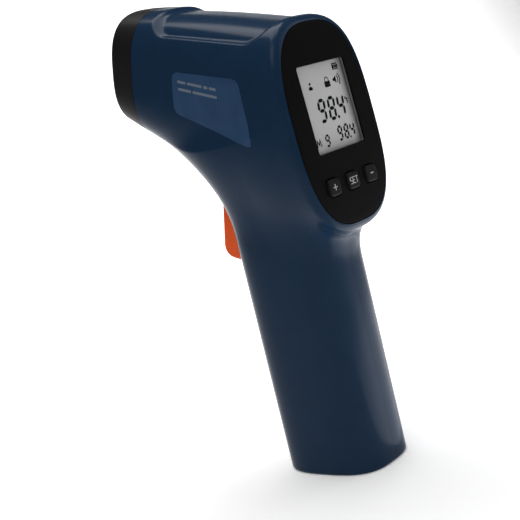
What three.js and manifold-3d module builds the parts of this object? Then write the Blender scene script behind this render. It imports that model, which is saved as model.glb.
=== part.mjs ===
// Pistol-grip infrared thermometer, in millimetres, standing on the flat end of its handle.
// +Z runs up the handle, the nose points towards -X and the display faces +X.
// The head leans back on the handle, so its pieces are placed in a turned group of their own,
// and the display leans once more inside the head.
import * as THREE from 'three';
import { mergeVertices } from 'three/addons/utils/BufferGeometryUtils.js';
import Module from 'manifold-3d';

const wasm = await Module();
wasm.setup();

const { degToRad, clamp, lerp } = THREE.MathUtils;

// ---------------------------------------------------------------- driving dimensions

// Head group: origin at the top edge of the display window, on the middle plane.
const HEAD_TILT = degToRad(15.1);
const HEAD_X = 23.43;
const HEAD_Z = 123.3;
const DISPLAY_TILT = degToRad(18);

// Casing sections. Each is a superellipse: half width, half height and power.
const NOSE = { x: -68.4, z: -5.45, halfWidth: 16.8, halfHeight: 17.45, power: 2.9 };
const REAR = { z: -17.3, lift: 0.2, halfWidth: 21.7, halfHeight: 30.7, power: 3.06 };
const HANDLE = { halfDepth: 18.1, halfWidth: 13.9, power: 3, top: 100 };
const TOP_CROWN = 1;
const BELLY_CROWN = 0.9;
const SIDE_CROWN = -0.2;
const FRONT_BLEND = 14.2;
const REAR_BLEND = 12;
const RIM_BLEND = 4;
const RIM_ROUND = 2.5;
const RIM_SETBACK = 1.6;
const WALL = 2;
const PIVOT_OF_FAN = { x: -52, z: -60 };
const OUTER_SIDES = 44;
const INNER_SIDES = 32;
const BEZEL_SIDES = 48;

const PARTING_Y = 0.5;
const GAP = 0.1;
const SEAM_X = -58.6;

// Display face, in the display group: +X outwards, +Z up the slope, origin at the window's top.
const BEZEL = {
  halfWidth: 19.65, halfHeight: 29.55, power: 2.83, z: -17.55, back: -2.6, rim: 0.1, crown: 0.45,
};
const WINDOW = { width: 23.2, height: 25.45, corner: 0.8 };
const KEY = { width: 5.6, height: 4.9, corner: 1.4, pitch: 9.5, z: -35.2, top: 1, gap: 0.35 };
const KEY_NAMES = ['plus_key', 'set_key', 'minus_key'];
const BOARD = { front: -6.3, back: -7.9 };
const BOARD_SCREWS = [[-7, 5.2], [7, 5.2], [0, -41.5]];

// Trigger, in the standing frame.
const TRIGGER = { x: -15.5, z: 89.5, halfWidth: 4.9, sweep: 21.2, hub: 3.8, back: -13.2, pin: 1 };
const TRIGGER_FRONT = { lowX: -25.9, lowZ: 74.2, highX: -21.2, highZ: 91.2 };
const TRIGGER_SLOT = { halfWidth: 5.2, low: 67.8, high: 94.2 };
const SWITCH_Z = 73;
const SPRING_Z = 80;

// Battery space, in the standing frame.
const DOOR = { halfWidth: 9, low: 6, high: 58, clearance: 0.25 };
const TRAY = { front: -13.2, rear: 9.2, halfWidth: 6.9, low: 2.6, high: 56.6, wall: 1 };
const CELL = { radius: 5.25, length: 43.3, nubRadius: 1.9, nub: 1.2 };
const CELL_X = [-7.9, 2.9];

// Sensor, along the nose axis; depths are measured inwards from the funnel's mouth.
const SENSOR = { mouthX: -67.7, z: -5.45, mouthRadius: 9.4, throatRadius: 4.2, socketRadius: 5 };

// The shallow panel over the top of the barrel, in the head frame.
const TOP_PANEL = { front: -52.5, rear: -8, low: 6.4, corner: 6, depth: 1.3 };

// The label on the left of the barrel: its corners as [x, z] in the head frame.
const LABEL_CORNERS = [[-40.8, -3.1], [-14.1, -3.1], [-8.7, -22.4], [-40.6, -15.4]];
const LABEL = { corner: 2.6, gap: 0.12, seat: 0.5, thickness: 0.4 };

// Casing screws, driven in from the right half. Seat and tip are distances from the middle plane.
const SCREW = { shank: 1.1, head: 2.1, headHeight: 1.6, boss: 3, seat: 6, tip: -9 };
const SCREWS_IN_HEAD = [[-44, -20], [-22, 3.5]];
const SCREWS_IN_HANDLE = [[6, 66], [12.4, 8]];

// ---------------------------------------------------------------- materials

function plastic(color, roughness) {
  return new THREE.MeshStandardMaterial({ color, roughness, metalness: 0 });
}

function metal(color, roughness) {
  return new THREE.MeshStandardMaterial({ color, roughness, metalness: 1 });
}

const navy = plastic(0x182637, 0.42);
const labelBlue = plastic(0x2a3e56, 0.5);
const black = plastic(0x161718, 0.45);
const keyBlack = plastic(0x1b1c1d, 0.55);
const orange = plastic(0xc84315, 0.45);
const greyPlastic = plastic(0x5c6166, 0.6);
const whitePlastic = plastic(0xe6e8e6, 0.5);
const clear = plastic(0xdfe6e8, 0.08);
const displayGlass = plastic(0x9aa09c, 0.2);
const boardGreen = plastic(0x1d5a36, 0.5);
const chipBlack = plastic(0x111214, 0.6);
const rubberGrey = plastic(0x3a3c40, 0.8);
const leadRed = plastic(0xa51e1c, 0.5);
const leadBlack = plastic(0x151515, 0.5);
const steel = metal(0xb9bcc0, 0.3);
const springSteel = metal(0xa6a9ad, 0.35);
const brass = metal(0xb59a56, 0.35);
const cellSleeve = plastic(0x3f6e58, 0.35);

// ---------------------------------------------------------------- solids

function toSolid(geometry) {
  const bare = geometry.clone();
  bare.deleteAttribute('normal');
  bare.deleteAttribute('uv');
  const merged = mergeVertices(bare, 1e-4);
  return new wasm.Manifold(new wasm.Mesh({
    numProp: 3,
    vertProperties: new Float32Array(merged.attributes.position.array),
    triVerts: new Uint32Array(merged.index.array),
  }));
}

function toGeometry(solid) {
  const result = solid.getMesh();
  const geometry = new THREE.BufferGeometry();
  geometry.setAttribute('position', new THREE.BufferAttribute(result.vertProperties, 3));
  geometry.setIndex(new THREE.BufferAttribute(result.triVerts, 1));
  return geometry;
}

function piece(name, shape, material) {
  const geometry = shape.isBufferGeometry ? shape : toGeometry(shape);
  const mesh = new THREE.Mesh(geometry, material);
  mesh.name = name;
  return mesh;
}

function box(xLow, xHigh, yLow, yHigh, zLow, zHigh) {
  const geometry = new THREE.BoxGeometry(xHigh - xLow, yHigh - yLow, zHigh - zLow);
  geometry.translate((xLow + xHigh) / 2, (yLow + yHigh) / 2, (zLow + zHigh) / 2);
  return geometry;
}

// An outline whose x is a piece's Y and whose y is its Z, pushed along X.
function alongX(shape, from, to, curveSegments = 6) {
  const options = { depth: to - from, bevelEnabled: false, curveSegments };
  const geometry = new THREE.ExtrudeGeometry(shape, options);
  const yAxis = new THREE.Vector3(0, 1, 0);
  const zAxis = new THREE.Vector3(0, 0, 1);
  const xAxis = new THREE.Vector3(1, 0, 0);
  geometry.applyMatrix4(new THREE.Matrix4().makeBasis(yAxis, zAxis, xAxis));
  return geometry.translate(from, 0, 0);
}

// An outline in the X-Z plane, pushed along Y.
function alongY(shape, from, to, curveSegments = 6) {
  const options = { depth: to - from, bevelEnabled: false, curveSegments };
  const geometry = new THREE.ExtrudeGeometry(shape, options);
  return geometry.rotateX(Math.PI / 2).translate(0, to, 0);
}

function rodX(radius, from, to, y, z, sides = 20) {
  const geometry = new THREE.CylinderGeometry(radius, radius, to - from, sides);
  return geometry.rotateZ(Math.PI / 2).translate((from + to) / 2, y, z);
}

function rodY(radius, from, to, x, z, sides = 20) {
  const geometry = new THREE.CylinderGeometry(radius, radius, to - from, sides);
  return geometry.translate(x, (from + to) / 2, z);
}

function rodZ(radius, from, to, x, y, sides = 20) {
  const geometry = new THREE.CylinderGeometry(radius, radius, to - from, sides);
  return geometry.rotateX(Math.PI / 2).translate(x, y, (from + to) / 2);
}

// A closed profile of [radius, depth] pairs turned about the sensor axis, depth running along +X.
function turnedAlongX(profile, sides = 20) {
  const points = profile.map(([radius, depth]) => new THREE.Vector2(radius, depth));
  const geometry = new THREE.LatheGeometry([...points, points[0].clone()], sides);
  return facingOut(geometry.rotateZ(-Math.PI / 2).translate(SENSOR.mouthX, 0, SENSOR.z));
}

function roundedRectangle(width, height, radius, centreY, centreZ) {
  const shape = new THREE.Shape();
  const left = centreY - width / 2;
  const right = centreY + width / 2;
  const low = centreZ - height / 2;
  const high = centreZ + height / 2;
  shape.moveTo(left + radius, low);
  shape.lineTo(right - radius, low);
  shape.absarc(right - radius, low + radius, radius, -Math.PI / 2, 0);
  shape.lineTo(right, high - radius);
  shape.absarc(right - radius, high - radius, radius, 0, Math.PI / 2);
  shape.lineTo(left + radius, high);
  shape.absarc(left + radius, high - radius, radius, Math.PI / 2, Math.PI);
  shape.lineTo(left, low + radius);
  shape.absarc(left + radius, low + radius, radius, Math.PI, Math.PI * 1.5);
  return shape;
}

function superellipsePoints(halfWidth, halfHeight, power, centreZ, count) {
  const points = [];
  for (let i = 0; i < count; i += 1) {
    const angle = (i / count) * Math.PI * 2;
    const c = Math.cos(angle);
    const s = Math.sin(angle);
    const y = Math.sign(c) * Math.abs(c) ** (2 / power) * halfWidth;
    const z = centreZ + Math.sign(s) * Math.abs(s) ** (2 / power) * halfHeight;
    points.push(new THREE.Vector2(y, z));
  }
  return points;
}

function bezelOutline(grow) {
  const { halfWidth, halfHeight, power, z } = BEZEL;
  return superellipsePoints(halfWidth + grow, halfHeight + grow, power, z, BEZEL_SIDES);
}

// Rings of equal length joined into one closed body, with a fan over each end.
function loft(rings) {
  const count = rings[0].length;
  const vertices = rings.flat().flatMap((p) => [p.x, p.y, p.z]);
  const index = [];
  for (let r = 0; r < rings.length - 1; r += 1) {
    for (let i = 0; i < count; i += 1) {
      const a = r * count + i;
      const b = r * count + ((i + 1) % count);
      index.push(a, b, a + count, b, b + count, a + count);
    }
  }
  const ends = [rings[0], rings[rings.length - 1]];
  ends.forEach((ring, end) => {
    const centre = new THREE.Vector3();
    ring.forEach((p) => centre.addScaledVector(p, 1 / count));
    const hub = vertices.length / 3;
    vertices.push(centre.x, centre.y, centre.z);
    const first = end === 0 ? 0 : (rings.length - 1) * count;
    for (let i = 0; i < count; i += 1) {
      const a = first + i;
      const b = first + ((i + 1) % count);
      index.push(...(end === 0 ? [b, a, hub] : [a, b, hub]));
    }
  });
  const geometry = new THREE.BufferGeometry();
  geometry.setAttribute('position', new THREE.Float32BufferAttribute(vertices, 3));
  geometry.setIndex(index);
  return facingOut(geometry);
}

function facingOut(geometry) {
  const p = geometry.attributes.position;
  const index = geometry.index.array;
  const corners = [new THREE.Vector3(), new THREE.Vector3(), new THREE.Vector3()];
  let volume = 0;
  for (let i = 0; i < index.length; i += 3) {
    corners.forEach((corner, k) => corner.fromBufferAttribute(p, index[i + k]));
    volume += corners[0].dot(corners[1].clone().cross(corners[2]));
  }
  if (volume < 0) {
    geometry.setIndex([...index].reverse());
  }
  return geometry;
}

// ---------------------------------------------------------------- frames

const headMatrix = new THREE.Matrix4().makeRotationY(HEAD_TILT).setPosition(HEAD_X, 0, HEAD_Z);
const displayMatrix = headMatrix.clone().multiply(new THREE.Matrix4().makeRotationY(-DISPLAY_TILT));
const toHead = headMatrix.clone().invert();

function solidInHead(geometry) {
  return toSolid(geometry.clone().applyMatrix4(headMatrix));
}

function solidInDisplay(geometry) {
  return toSolid(geometry.clone().applyMatrix4(displayMatrix));
}

// ---------------------------------------------------------------- casing surface

function sectionDistance(across, up, halfWidth, halfHeight, power) {
  const size = (Math.abs(across / halfWidth) ** power + Math.abs(up / halfHeight) ** power) ** (1 / power);
  return (size - 1) * Math.min(halfWidth, halfHeight);
}

function blendedMin(a, b, width) {
  const overlap = Math.max(width - Math.abs(a - b), 0) / width;
  return Math.min(a, b) - (overlap * overlap * width) / 4;
}

const rimX = -REAR.z * Math.sin(DISPLAY_TILT) + REAR.lift * Math.cos(DISPLAY_TILT);
const rimZ = REAR.z * Math.cos(DISPLAY_TILT) + REAR.lift * Math.sin(DISPLAY_TILT);
const barrelLength = rimX - NOSE.x;

// The barrel's section at a share of the way from the nose (0) to the display's rim (1), where
// it has turned from upright to the display's slope.
function barrelSection(along) {
  const bulge = Math.max(4 * along * (1 - along), 0);
  const height = lerp(NOSE.halfHeight, REAR.halfHeight, along);
  return {
    turn: DISPLAY_TILT * along,
    x: lerp(NOSE.x, rimX, along),
    z: lerp(NOSE.z, rimZ, along),
    halfWidth: lerp(NOSE.halfWidth, REAR.halfWidth, along) + SIDE_CROWN * bulge,
    above: height + TOP_CROWN * bulge,
    below: height + BELLY_CROWN * bulge,
    power: lerp(NOSE.power, REAR.power, clamp(along, 0, 1)),
  };
}

function barrelDistance(x, y, z) {
  const beforeRim = (rimX - x) * Math.cos(DISPLAY_TILT) + (rimZ - z) * Math.sin(DISPLAY_TILT);
  const behindNose = x - NOSE.x;
  const along = clamp(behindNose / Math.max(behindNose + beforeRim, 1e-6), -0.1, 1.15);
  const cut = barrelSection(along);
  const up = (z - cut.z) * Math.cos(cut.turn) - (x - cut.x) * Math.sin(cut.turn);
  const halfHeight = up > 0 ? cut.above : cut.below;
  return { section: sectionDistance(y, up, cut.halfWidth, halfHeight, cut.power), rim: -beforeRim };
}

// Distance from the whole casing's outside, below zero inside it, for a point in the head frame.
// The casing ends at the display's rim, or short of it by the setback.
function casingDistance(x, y, z, setback) {
  const standing = new THREE.Vector3(x, y, z).applyMatrix4(headMatrix);
  const { halfDepth, halfWidth, power, top } = HANDLE;
  const column = sectionDistance(standing.x, y, halfDepth, halfWidth, power);
  const handle = Math.max(column, standing.z - top);
  const frontness = THREE.MathUtils.smoothstep(-standing.x, -2, 16);
  const blend = lerp(REAR_BLEND, FRONT_BLEND, frontness);
  const barrel = barrelDistance(x, y, z);
  const joined = blendedMin(barrel.section, handle, blend);
  return -blendedMin(-joined, -barrel.rim - setback, RIM_BLEND);
}

// Sections through the casing: upright in the nose, fanned through the head about a point in
// the crook of the grip, and square to the handle below it.
function casingStations(noseStations, fanSteps, handleLevels) {
  const stations = noseStations.map(([x, inset]) => ({ x, z: -7, lean: 0, inset }));
  for (let i = 0; i < fanSteps; i += 1) {
    const lean = (i / fanSteps) * degToRad(75);
    const reach = 54 - (4 * i) / fanSteps;
    const x = PIVOT_OF_FAN.x + Math.sin(lean) * reach;
    const z = PIVOT_OF_FAN.z + Math.cos(lean) * reach;
    stations.push({ x, z, lean, inset: 0 });
  }
  handleLevels.forEach(([level, inset]) => {
    const centre = new THREE.Vector3(0, 0, level).applyMatrix4(toHead);
    stations.push({ x: centre.x, z: centre.z, lean: Math.PI / 2 - HEAD_TILT, inset });
  });
  return stations;
}

function castRing(station, inset, count, setback) {
  const ring = [];
  for (let i = 0; i < count; i += 1) {
    const angle = (i / count) * Math.PI * 2;
    const dx = Math.sin(station.lean) * Math.cos(angle);
    const dz = Math.cos(station.lean) * Math.cos(angle);
    const dy = Math.sin(angle);
    let inside = 0;
    let outside = 75;
    for (let step = 0; step < 26; step += 1) {
      const middle = (inside + outside) / 2;
      const x = station.x + dx * middle;
      const z = station.z + dz * middle;
      if (casingDistance(x, dy * middle, z, setback) + inset < 0) {
        inside = middle;
      } else {
        outside = middle;
      }
    }
    ring.push(new THREE.Vector3(station.x + dx * inside, dy * inside, station.z + dz * inside));
  }
  return ring;
}

function casingSolid(inset, stations, count, setback = 0) {
  const rings = stations.map((station) => castRing(station, inset + station.inset, count, setback));
  return toSolid(loft(rings).applyMatrix4(headMatrix));
}

// The barrel's last stretch, with a quarter-round edge around the display.
function displayRim() {
  const ring = (before, inset) => {
    const cut = barrelSection(1 - before / barrelLength);
    return superellipsePoints(1, 1, cut.power, 0, OUTER_SIDES).map((p) => {
      const up = p.y * ((p.y > 0 ? cut.above : cut.below) - inset);
      const x = cut.x - up * Math.sin(cut.turn);
      return new THREE.Vector3(x, p.x * (cut.halfWidth - inset), cut.z + up * Math.cos(cut.turn));
    });
  };
  const rings = [ring(9, 0.8), ring(8, 0), ring(5, 0)];
  for (let step = 0; step <= 4; step += 1) {
    const angle = (step / 4) * (Math.PI / 2);
    rings.push(ring(RIM_ROUND * (1 - Math.sin(angle)), RIM_ROUND * (1 - Math.cos(angle))));
  }
  return solidInHead(loft(rings));
}

// Stations as [place, inset]: the insets round the nose's front edge and the handle's foot.
const OUTER_NOSE = [[NOSE.x, 1.6], [NOSE.x + 0.6, 0.5], [NOSE.x + 1.8, 0], [SEAM_X, 0]];
const OUTER_FOOT = [[1.2, 0], [0.35, 0.3], [0, 1.1]];
const OUTER_NECK = [77.5, 76, 74.5, 72.5, 70, 67, 62].map((level) => [level, 0]);
const INNER_HANDLE = [74, 68, 62, 2.2].map((level) => [level, 0]);
const INNER_NOSE = [[-70, 0], [-60, 0]];

const outerStations = casingStations(OUTER_NOSE, 20, [...OUTER_NECK, ...OUTER_FOOT]);
const innerStations = casingStations(INNER_NOSE, 12, INNER_HANDLE);

const outerBody = casingSolid(0, outerStations, OUTER_SIDES, RIM_SETBACK).add(displayRim());
const innerBody = casingSolid(WALL, innerStations, INNER_SIDES);

// ---------------------------------------------------------------- casing shells

// The shallow panel wraps over the top of the barrel with rounded lower corners.
function topPanelCut() {
  const { front, rear, low, corner, depth } = TOP_PANEL;
  const above = 20;
  const shape = new THREE.Shape();
  shape.moveTo(front, above);
  shape.lineTo(front, low + corner);
  shape.absarc(front + corner, low + corner, corner, Math.PI, Math.PI * 1.5);
  shape.lineTo(rear - corner, low);
  shape.absarc(rear - corner, low + corner, corner, -Math.PI / 2, 0);
  shape.lineTo(rear, above);
  const prism = solidInHead(alongY(shape, -30, 30));
  return prism.subtract(casingSolid(depth, outerStations, OUTER_SIDES));
}

function labelShape(grow) {
  const radius = LABEL.corner - grow;
  const points = LABEL_CORNERS.map(([x, z]) => new THREE.Vector2(x, z));
  const centre = new THREE.Vector2();
  points.forEach((corner) => centre.addScaledVector(corner, 1 / points.length));
  points.forEach((corner) => corner.add(corner.clone().sub(centre).setLength(grow)));
  const shape = new THREE.Shape();
  points.forEach((corner, i) => {
    const before = points[(i + 3) % 4];
    const after = points[(i + 1) % 4];
    const enter = corner.clone().add(before.clone().sub(corner).setLength(radius));
    const leave = corner.clone().add(after.clone().sub(corner).setLength(radius));
    if (i === 0) {
      shape.moveTo(enter.x, enter.y);
    } else {
      shape.lineTo(enter.x, enter.y);
    }
    shape.quadraticCurveTo(corner.x, corner.y, leave.x, leave.y);
  });
  return shape;
}

function labelPrism(grow) {
  return solidInHead(alongY(labelShape(grow), -30, -6));
}

function screwPlaces() {
  const places = SCREWS_IN_HEAD.map(([x, z]) => new THREE.Vector3(x, 0, z).applyMatrix4(headMatrix));
  SCREWS_IN_HANDLE.forEach(([x, z]) => places.push(new THREE.Vector3(x, 0, z)));
  return places;
}

// The casing's inside keeps a ledge behind the bezel and, at each screw, a boss in each half.
function casingCavity() {
  const low = BEZEL.back - 2;
  const high = BEZEL.back - 0.3;
  const frame = solidInDisplay(alongX(new THREE.Shape(bezelOutline(6)), low, high));
  const opening = solidInDisplay(alongX(new THREE.Shape(bezelOutline(-1.5)), low - 5, high + 1));
  let cavity = innerBody.subtract(frame).add(opening);
  screwPlaces().forEach((place) => {
    cavity = cavity.subtract(toSolid(rodY(SCREW.boss, -30, 30, place.x, place.z)));
  });
  [-1, 1].forEach((side) => {
    const near = side * (TRIGGER.halfWidth + 0.7);
    const far = side * 16;
    const lug = rodY(2.6, Math.min(near, far), Math.max(near, far), TRIGGER.x, TRIGGER.z);
    cavity = cavity.subtract(toSolid(lug));
  });
  return cavity;
}

function casingCuts() {
  const bezelPocket = solidInDisplay(alongX(new THREE.Shape(bezelOutline(0.2)), BEZEL.back - 0.3, 12));
  const nosePlane = solidInHead(box(-90, SEAM_X, -40, 40, -60, 40));
  const slotHalf = TRIGGER_SLOT.halfWidth;
  const slot = toSolid(box(-40, -14, -slotHalf, slotHalf, TRIGGER_SLOT.low, TRIGGER_SLOT.high));
  const doorHalf = DOOR.halfWidth + DOOR.clearance;
  const doorway = toSolid(box(
    -25, -12, -doorHalf, doorHalf, DOOR.low - DOOR.clearance, DOOR.high + DOOR.clearance,
  ));
  const pinBore = toSolid(rodY(TRIGGER.pin + 0.1, -8.8, 8.8, TRIGGER.x, TRIGGER.z, 16));
  const underLabel = casingSolid(LABEL.seat, outerStations, OUTER_SIDES);
  const labelSeat = labelPrism(LABEL.gap).subtract(underLabel);
  return [bezelPocket, nosePlane, slot, doorway, pinBore, topPanelCut(), labelSeat];
}

function screwBores(side) {
  return screwPlaces().map((place) => {
    if (side < 0) {
      return toSolid(rodY(SCREW.shank + 0.1, SCREW.tip - 0.6, 4, place.x, place.z, 16));
    }
    const clearance = toSolid(rodY(SCREW.shank + 0.3, -4, SCREW.seat + 1, place.x, place.z, 16));
    return clearance.add(toSolid(rodY(SCREW.head + 0.3, SCREW.seat, 40, place.x, place.z, 16)));
  });
}

const hollowCasing = outerBody.subtract(casingCavity());
const emptyCasing = casingCuts().reduce((solid, cut) => solid.subtract(cut), hollowCasing);

function casingHalf(name, side) {
  const edge = PARTING_Y + (side * GAP) / 2;
  const half = side < 0 ? box(-90, 90, -60, edge, -10, 200) : box(-90, 90, edge, 60, -10, 200);
  let solid = emptyCasing.intersect(toSolid(half));
  screwBores(side).forEach((bore) => {
    solid = solid.subtract(bore);
  });
  return piece(name, solid, navy);
}

function sideLabel() {
  const skin = outerBody.subtract(casingSolid(LABEL.thickness, outerStations, OUTER_SIDES));
  return piece('side_label', skin.intersect(labelPrism(0)), labelBlue);
}

// ---------------------------------------------------------------- nose and sensor

function noseCap() {
  const front = solidInHead(box(-70, SEAM_X - 0.15, -40, 40, -60, 40));
  const spigotBand = solidInHead(box(SEAM_X - 1, SEAM_X + 3, -40, 40, -60, 40));
  const spigot = casingSolid(WALL + 0.3, innerStations, INNER_SIDES).intersect(spigotBand);
  const hollowBand = solidInHead(box(NOSE.x + 2.6, SEAM_X + 5, -40, 40, -60, 40));
  const hollow = casingSolid(WALL + 1.9, innerStations, INNER_SIDES).intersect(hollowBand);
  const mouth = solidInHead(rodX(SENSOR.mouthRadius + 1, -70, -60, 0, SENSOR.z, 28));
  const solid = outerBody.intersect(front).add(spigot).subtract(hollow).subtract(mouth);
  return piece('nose_cap', solid, black);
}

function sensorPieces() {
  const { mouthRadius, throatRadius, socketRadius } = SENSOR;
  const outside = socketRadius + 1.5;
  const funnel = [
    [mouthRadius - 0.8, 0], [throatRadius, 10.5], [throatRadius, 12], [socketRadius, 12.1],
    [socketRadius, 22], [outside, 22], [outside, 12.5], [mouthRadius + 0.75, 2.5], [mouthRadius + 0.75, 0],
  ];
  const sleeve = [[4.2, 12.5], [4.2, 16.2], [4.85, 16.2], [4.85, 12.5]];
  const can = [
    [0, 13.0], [1.8, 13.0], [1.8, 12.5], [4.1, 12.5], [4.1, 16.4], [4.7, 16.4], [4.7, 17], [0, 17],
  ];
  const filter = [[0, 12.6], [1.65, 12.6], [1.65, 12.9], [0, 12.9]];
  const board = [[0, 17.2], [4.7, 17.2], [4.7, 18.4], [0, 18.4]];
  return [
    piece('sensor_tube', turnedAlongX(funnel), black),
    piece('sensor_sleeve', turnedAlongX(sleeve), brass),
    piece('thermopile_can', turnedAlongX(can), steel),
    piece('sensor_filter', turnedAlongX(filter), chipBlack),
    piece('sensor_board', turnedAlongX(board), boardGreen),
  ];
}

function sensorRibbon() {
  const path = new THREE.CatmullRomCurve3([
    new THREE.Vector3(SENSOR.mouthX + 18.6, 0, SENSOR.z),
    new THREE.Vector3(-43, 0, -5.7),
    new THREE.Vector3(-30, 0, -9),
    new THREE.Vector3(-17, 0, -6.5),
    new THREE.Vector3(-7.9, 0, -4.4),
  ]);
  const section = new THREE.Shape(superellipsePoints(0.3, 2, 4, 0, 8));
  const ribbon = new THREE.ExtrudeGeometry(section, { extrudePath: path, steps: 16 });
  return piece('sensor_ribbon', ribbon, greyPlastic);
}

// ---------------------------------------------------------------- display face

function keyOutline(index, grow) {
  const y = (index - 1) * KEY.pitch;
  return roundedRectangle(KEY.width + 2 * grow, KEY.height + 2 * grow, KEY.corner + grow, y, KEY.z);
}

function bezelPlate() {
  const rings = [];
  const section = (x, grow) => bezelOutline(grow).map((p) => new THREE.Vector3(x, p.x, p.y));
  rings.push(section(BEZEL.back, 0));
  rings.push(section(BEZEL.rim - 0.6, 0));
  rings.push(section(BEZEL.rim - 0.12, -0.18));
  [0.975, 0.8, 0.55, 0.25].forEach((size) => {
    const x = BEZEL.rim + (BEZEL.crown - BEZEL.rim) * (1 - size ** 2);
    const scaled = superellipsePoints(
      BEZEL.halfWidth * size, BEZEL.halfHeight * size, BEZEL.power, BEZEL.z, BEZEL_SIDES,
    );
    rings.push(scaled.map((p) => new THREE.Vector3(x, p.x, p.y)));
  });
  return toSolid(loft(rings));
}

function displayBezel() {
  const middle = -WINDOW.height / 2;
  const windowShape = roundedRectangle(WINDOW.width, WINDOW.height, WINDOW.corner, 0, middle);
  let solid = bezelPlate();
  solid = solid.subtract(toSolid(alongX(windowShape, -5, 5, 3)));
  solid = solid.subtract(toSolid(box(-5, -1.1, -13.8, 13.8, -29.6, 2.3)));
  KEY_NAMES.forEach((name, index) => {
    solid = solid.subtract(toSolid(alongX(keyOutline(index, KEY.gap), -5, 5, 4)));
  });
  BOARD_SCREWS.forEach(([y, z]) => {
    solid = solid.add(toSolid(rodX(1.8, BOARD.front + 0.1, BEZEL.back + 0.3, y, z, 16)));
    solid = solid.subtract(toSolid(rodX(0.9, BOARD.front - 1, BEZEL.back - 1.2, y, z, 12)));
  });
  return piece('display_bezel', solid, black);
}

function displayStack() {
  const middle = -WINDOW.height / 2;
  const lens = roundedRectangle(WINDOW.width - 0.3, WINDOW.height - 0.3, WINDOW.corner - 0.15, 0, middle);
  return [
    piece('display_window', alongX(lens, -0.95, -0.05, 3), clear),
    piece('lcd_panel', box(-2.7, -1.2, -13.4, 13.4, -29.3, 2), displayGlass),
    piece('backlight_plate', box(-4.9, -2.85, -13, 13, -26.2, 1.6), whitePlastic),
    piece('contact_strip', box(BOARD.front + 0.1, -2.8, -11.5, 11.5, -28.9, -26.8), rubberGrey),
  ];
}

function keyPieces(name, index) {
  const y = (index - 1) * KEY.pitch;
  const cap = toSolid(alongX(keyOutline(index, 0), -3.2, KEY.top, 4));
  const flange = toSolid(alongX(keyOutline(index, 0.7), -3.7, -3.0, 4));
  const stem = rodX(1, -4.9, -3.85, y, KEY.z, 12);
  const button = toSolid(box(BOARD.front + 0.1, -4.7, y - 2.3, y + 2.3, KEY.z - 2.3, KEY.z + 2.3));
  const bore = toSolid(rodX(1.25, BOARD.front + 0.4, -4, y, KEY.z, 12));
  const label = name.replace('_key', '');
  return {
    cap: piece(name, cap.add(flange), keyBlack),
    stem: piece(`${label}_switch_stem`, stem, whitePlastic),
    body: piece(`${label}_switch_body`, button.subtract(bore), steel),
  };
}

// The main board follows the inside of the casing, just clear of it.
function mainBoard() {
  const sheet = solidInDisplay(box(BOARD.back, BOARD.front, -15, 15, -44.5, 8.5));
  const inside = casingSolid(WALL + 0.8, innerStations, 28);
  let solid = sheet.intersect(inside);
  BOARD_SCREWS.forEach(([y, z]) => {
    solid = solid.subtract(solidInDisplay(rodX(1, -10, 0, y, z, 12)));
  });
  return piece('main_board', solid.transform(displayMatrix.clone().invert().elements), boardGreen);
}

function boardPieces() {
  const parts = [
    piece('controller_chip', box(-9.2, BOARD.back - 0.1, -5, 5, -22, -12), chipBlack),
    piece('buzzer', rodX(4.5, -11, BOARD.back - 0.1, 6, -31, 20), chipBlack),
  ];
  BOARD_SCREWS.forEach(([y, z], i) => {
    const head = toSolid(rodX(1.7, -9, BOARD.back - 0.1, y, z, 12));
    const shank = toSolid(rodX(0.75, -8.5, -4.2, y, z, 12));
    parts.push(piece(`board_screw_${i + 1}`, head.add(shank), steel));
  });
  return parts;
}

// ---------------------------------------------------------------- trigger

function triggerShape() {
  const shape = new THREE.Shape();
  const { x, z, sweep, hub, back } = TRIGGER;
  const { lowX, lowZ, highX, highZ } = TRIGGER_FRONT;
  const rear = Math.asin((back - x) / sweep);
  const front = Math.asin((lowX + 2 - x) / sweep);
  shape.moveTo(back, z - sweep * Math.cos(rear));
  shape.absarc(x, z, sweep, rear - Math.PI / 2, front - Math.PI / 2, true);
  shape.quadraticCurveTo(lowX - 0.3, lowZ - 2.8, lowX, lowZ);
  shape.lineTo(highX, highZ);
  shape.quadraticCurveTo(highX + 0.8, z + hub, x, z + hub);
  shape.absarc(x, z, hub, Math.PI / 2, -Math.PI / 4, true);
  shape.lineTo(back, 85);
  return shape;
}

function triggerPieces() {
  const { x, z, halfWidth, back, pin } = TRIGGER;
  const blade = toSolid(alongY(triggerShape(), -halfWidth, halfWidth, 8));
  const bore = toSolid(rodY(pin + 0.08, -10, 10, x, z, 16));
  const springPocket = toSolid(rodX(2.9, back - 2.6, back + 1, 0, SPRING_Z, 16));
  const switchBody = toSolid(box(-10, -6.6, -3.2, 3.2, SWITCH_Z - 3.1, SWITCH_Z + 3.9));
  const switchBore = toSolid(rodX(2, -11, -7.2, 0, SWITCH_Z + 0.45, 16));
  const spring = coilSpring(2, 0.3, 8.9, 5).rotateY(-Math.PI / 2).translate(-6.6, 0, SPRING_Z);
  return [
    piece('trigger', blade.subtract(bore).subtract(springPocket), orange),
    piece('trigger_pin', rodY(pin, -8.6, 8.6, x, z, 16), steel),
    piece('trigger_spring', spring, springSteel),
    piece('trigger_switch_stem', rodX(1.3, back + 0.1, -9.8, 0, SWITCH_Z, 12), whitePlastic),
    piece('trigger_switch_body', switchBody.subtract(switchBore), chipBlack),
    piece('trigger_board', box(-6.4, -5.2, -6.5, 6.5, 66, 82.5), boardGreen),
  ];
}

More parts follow.
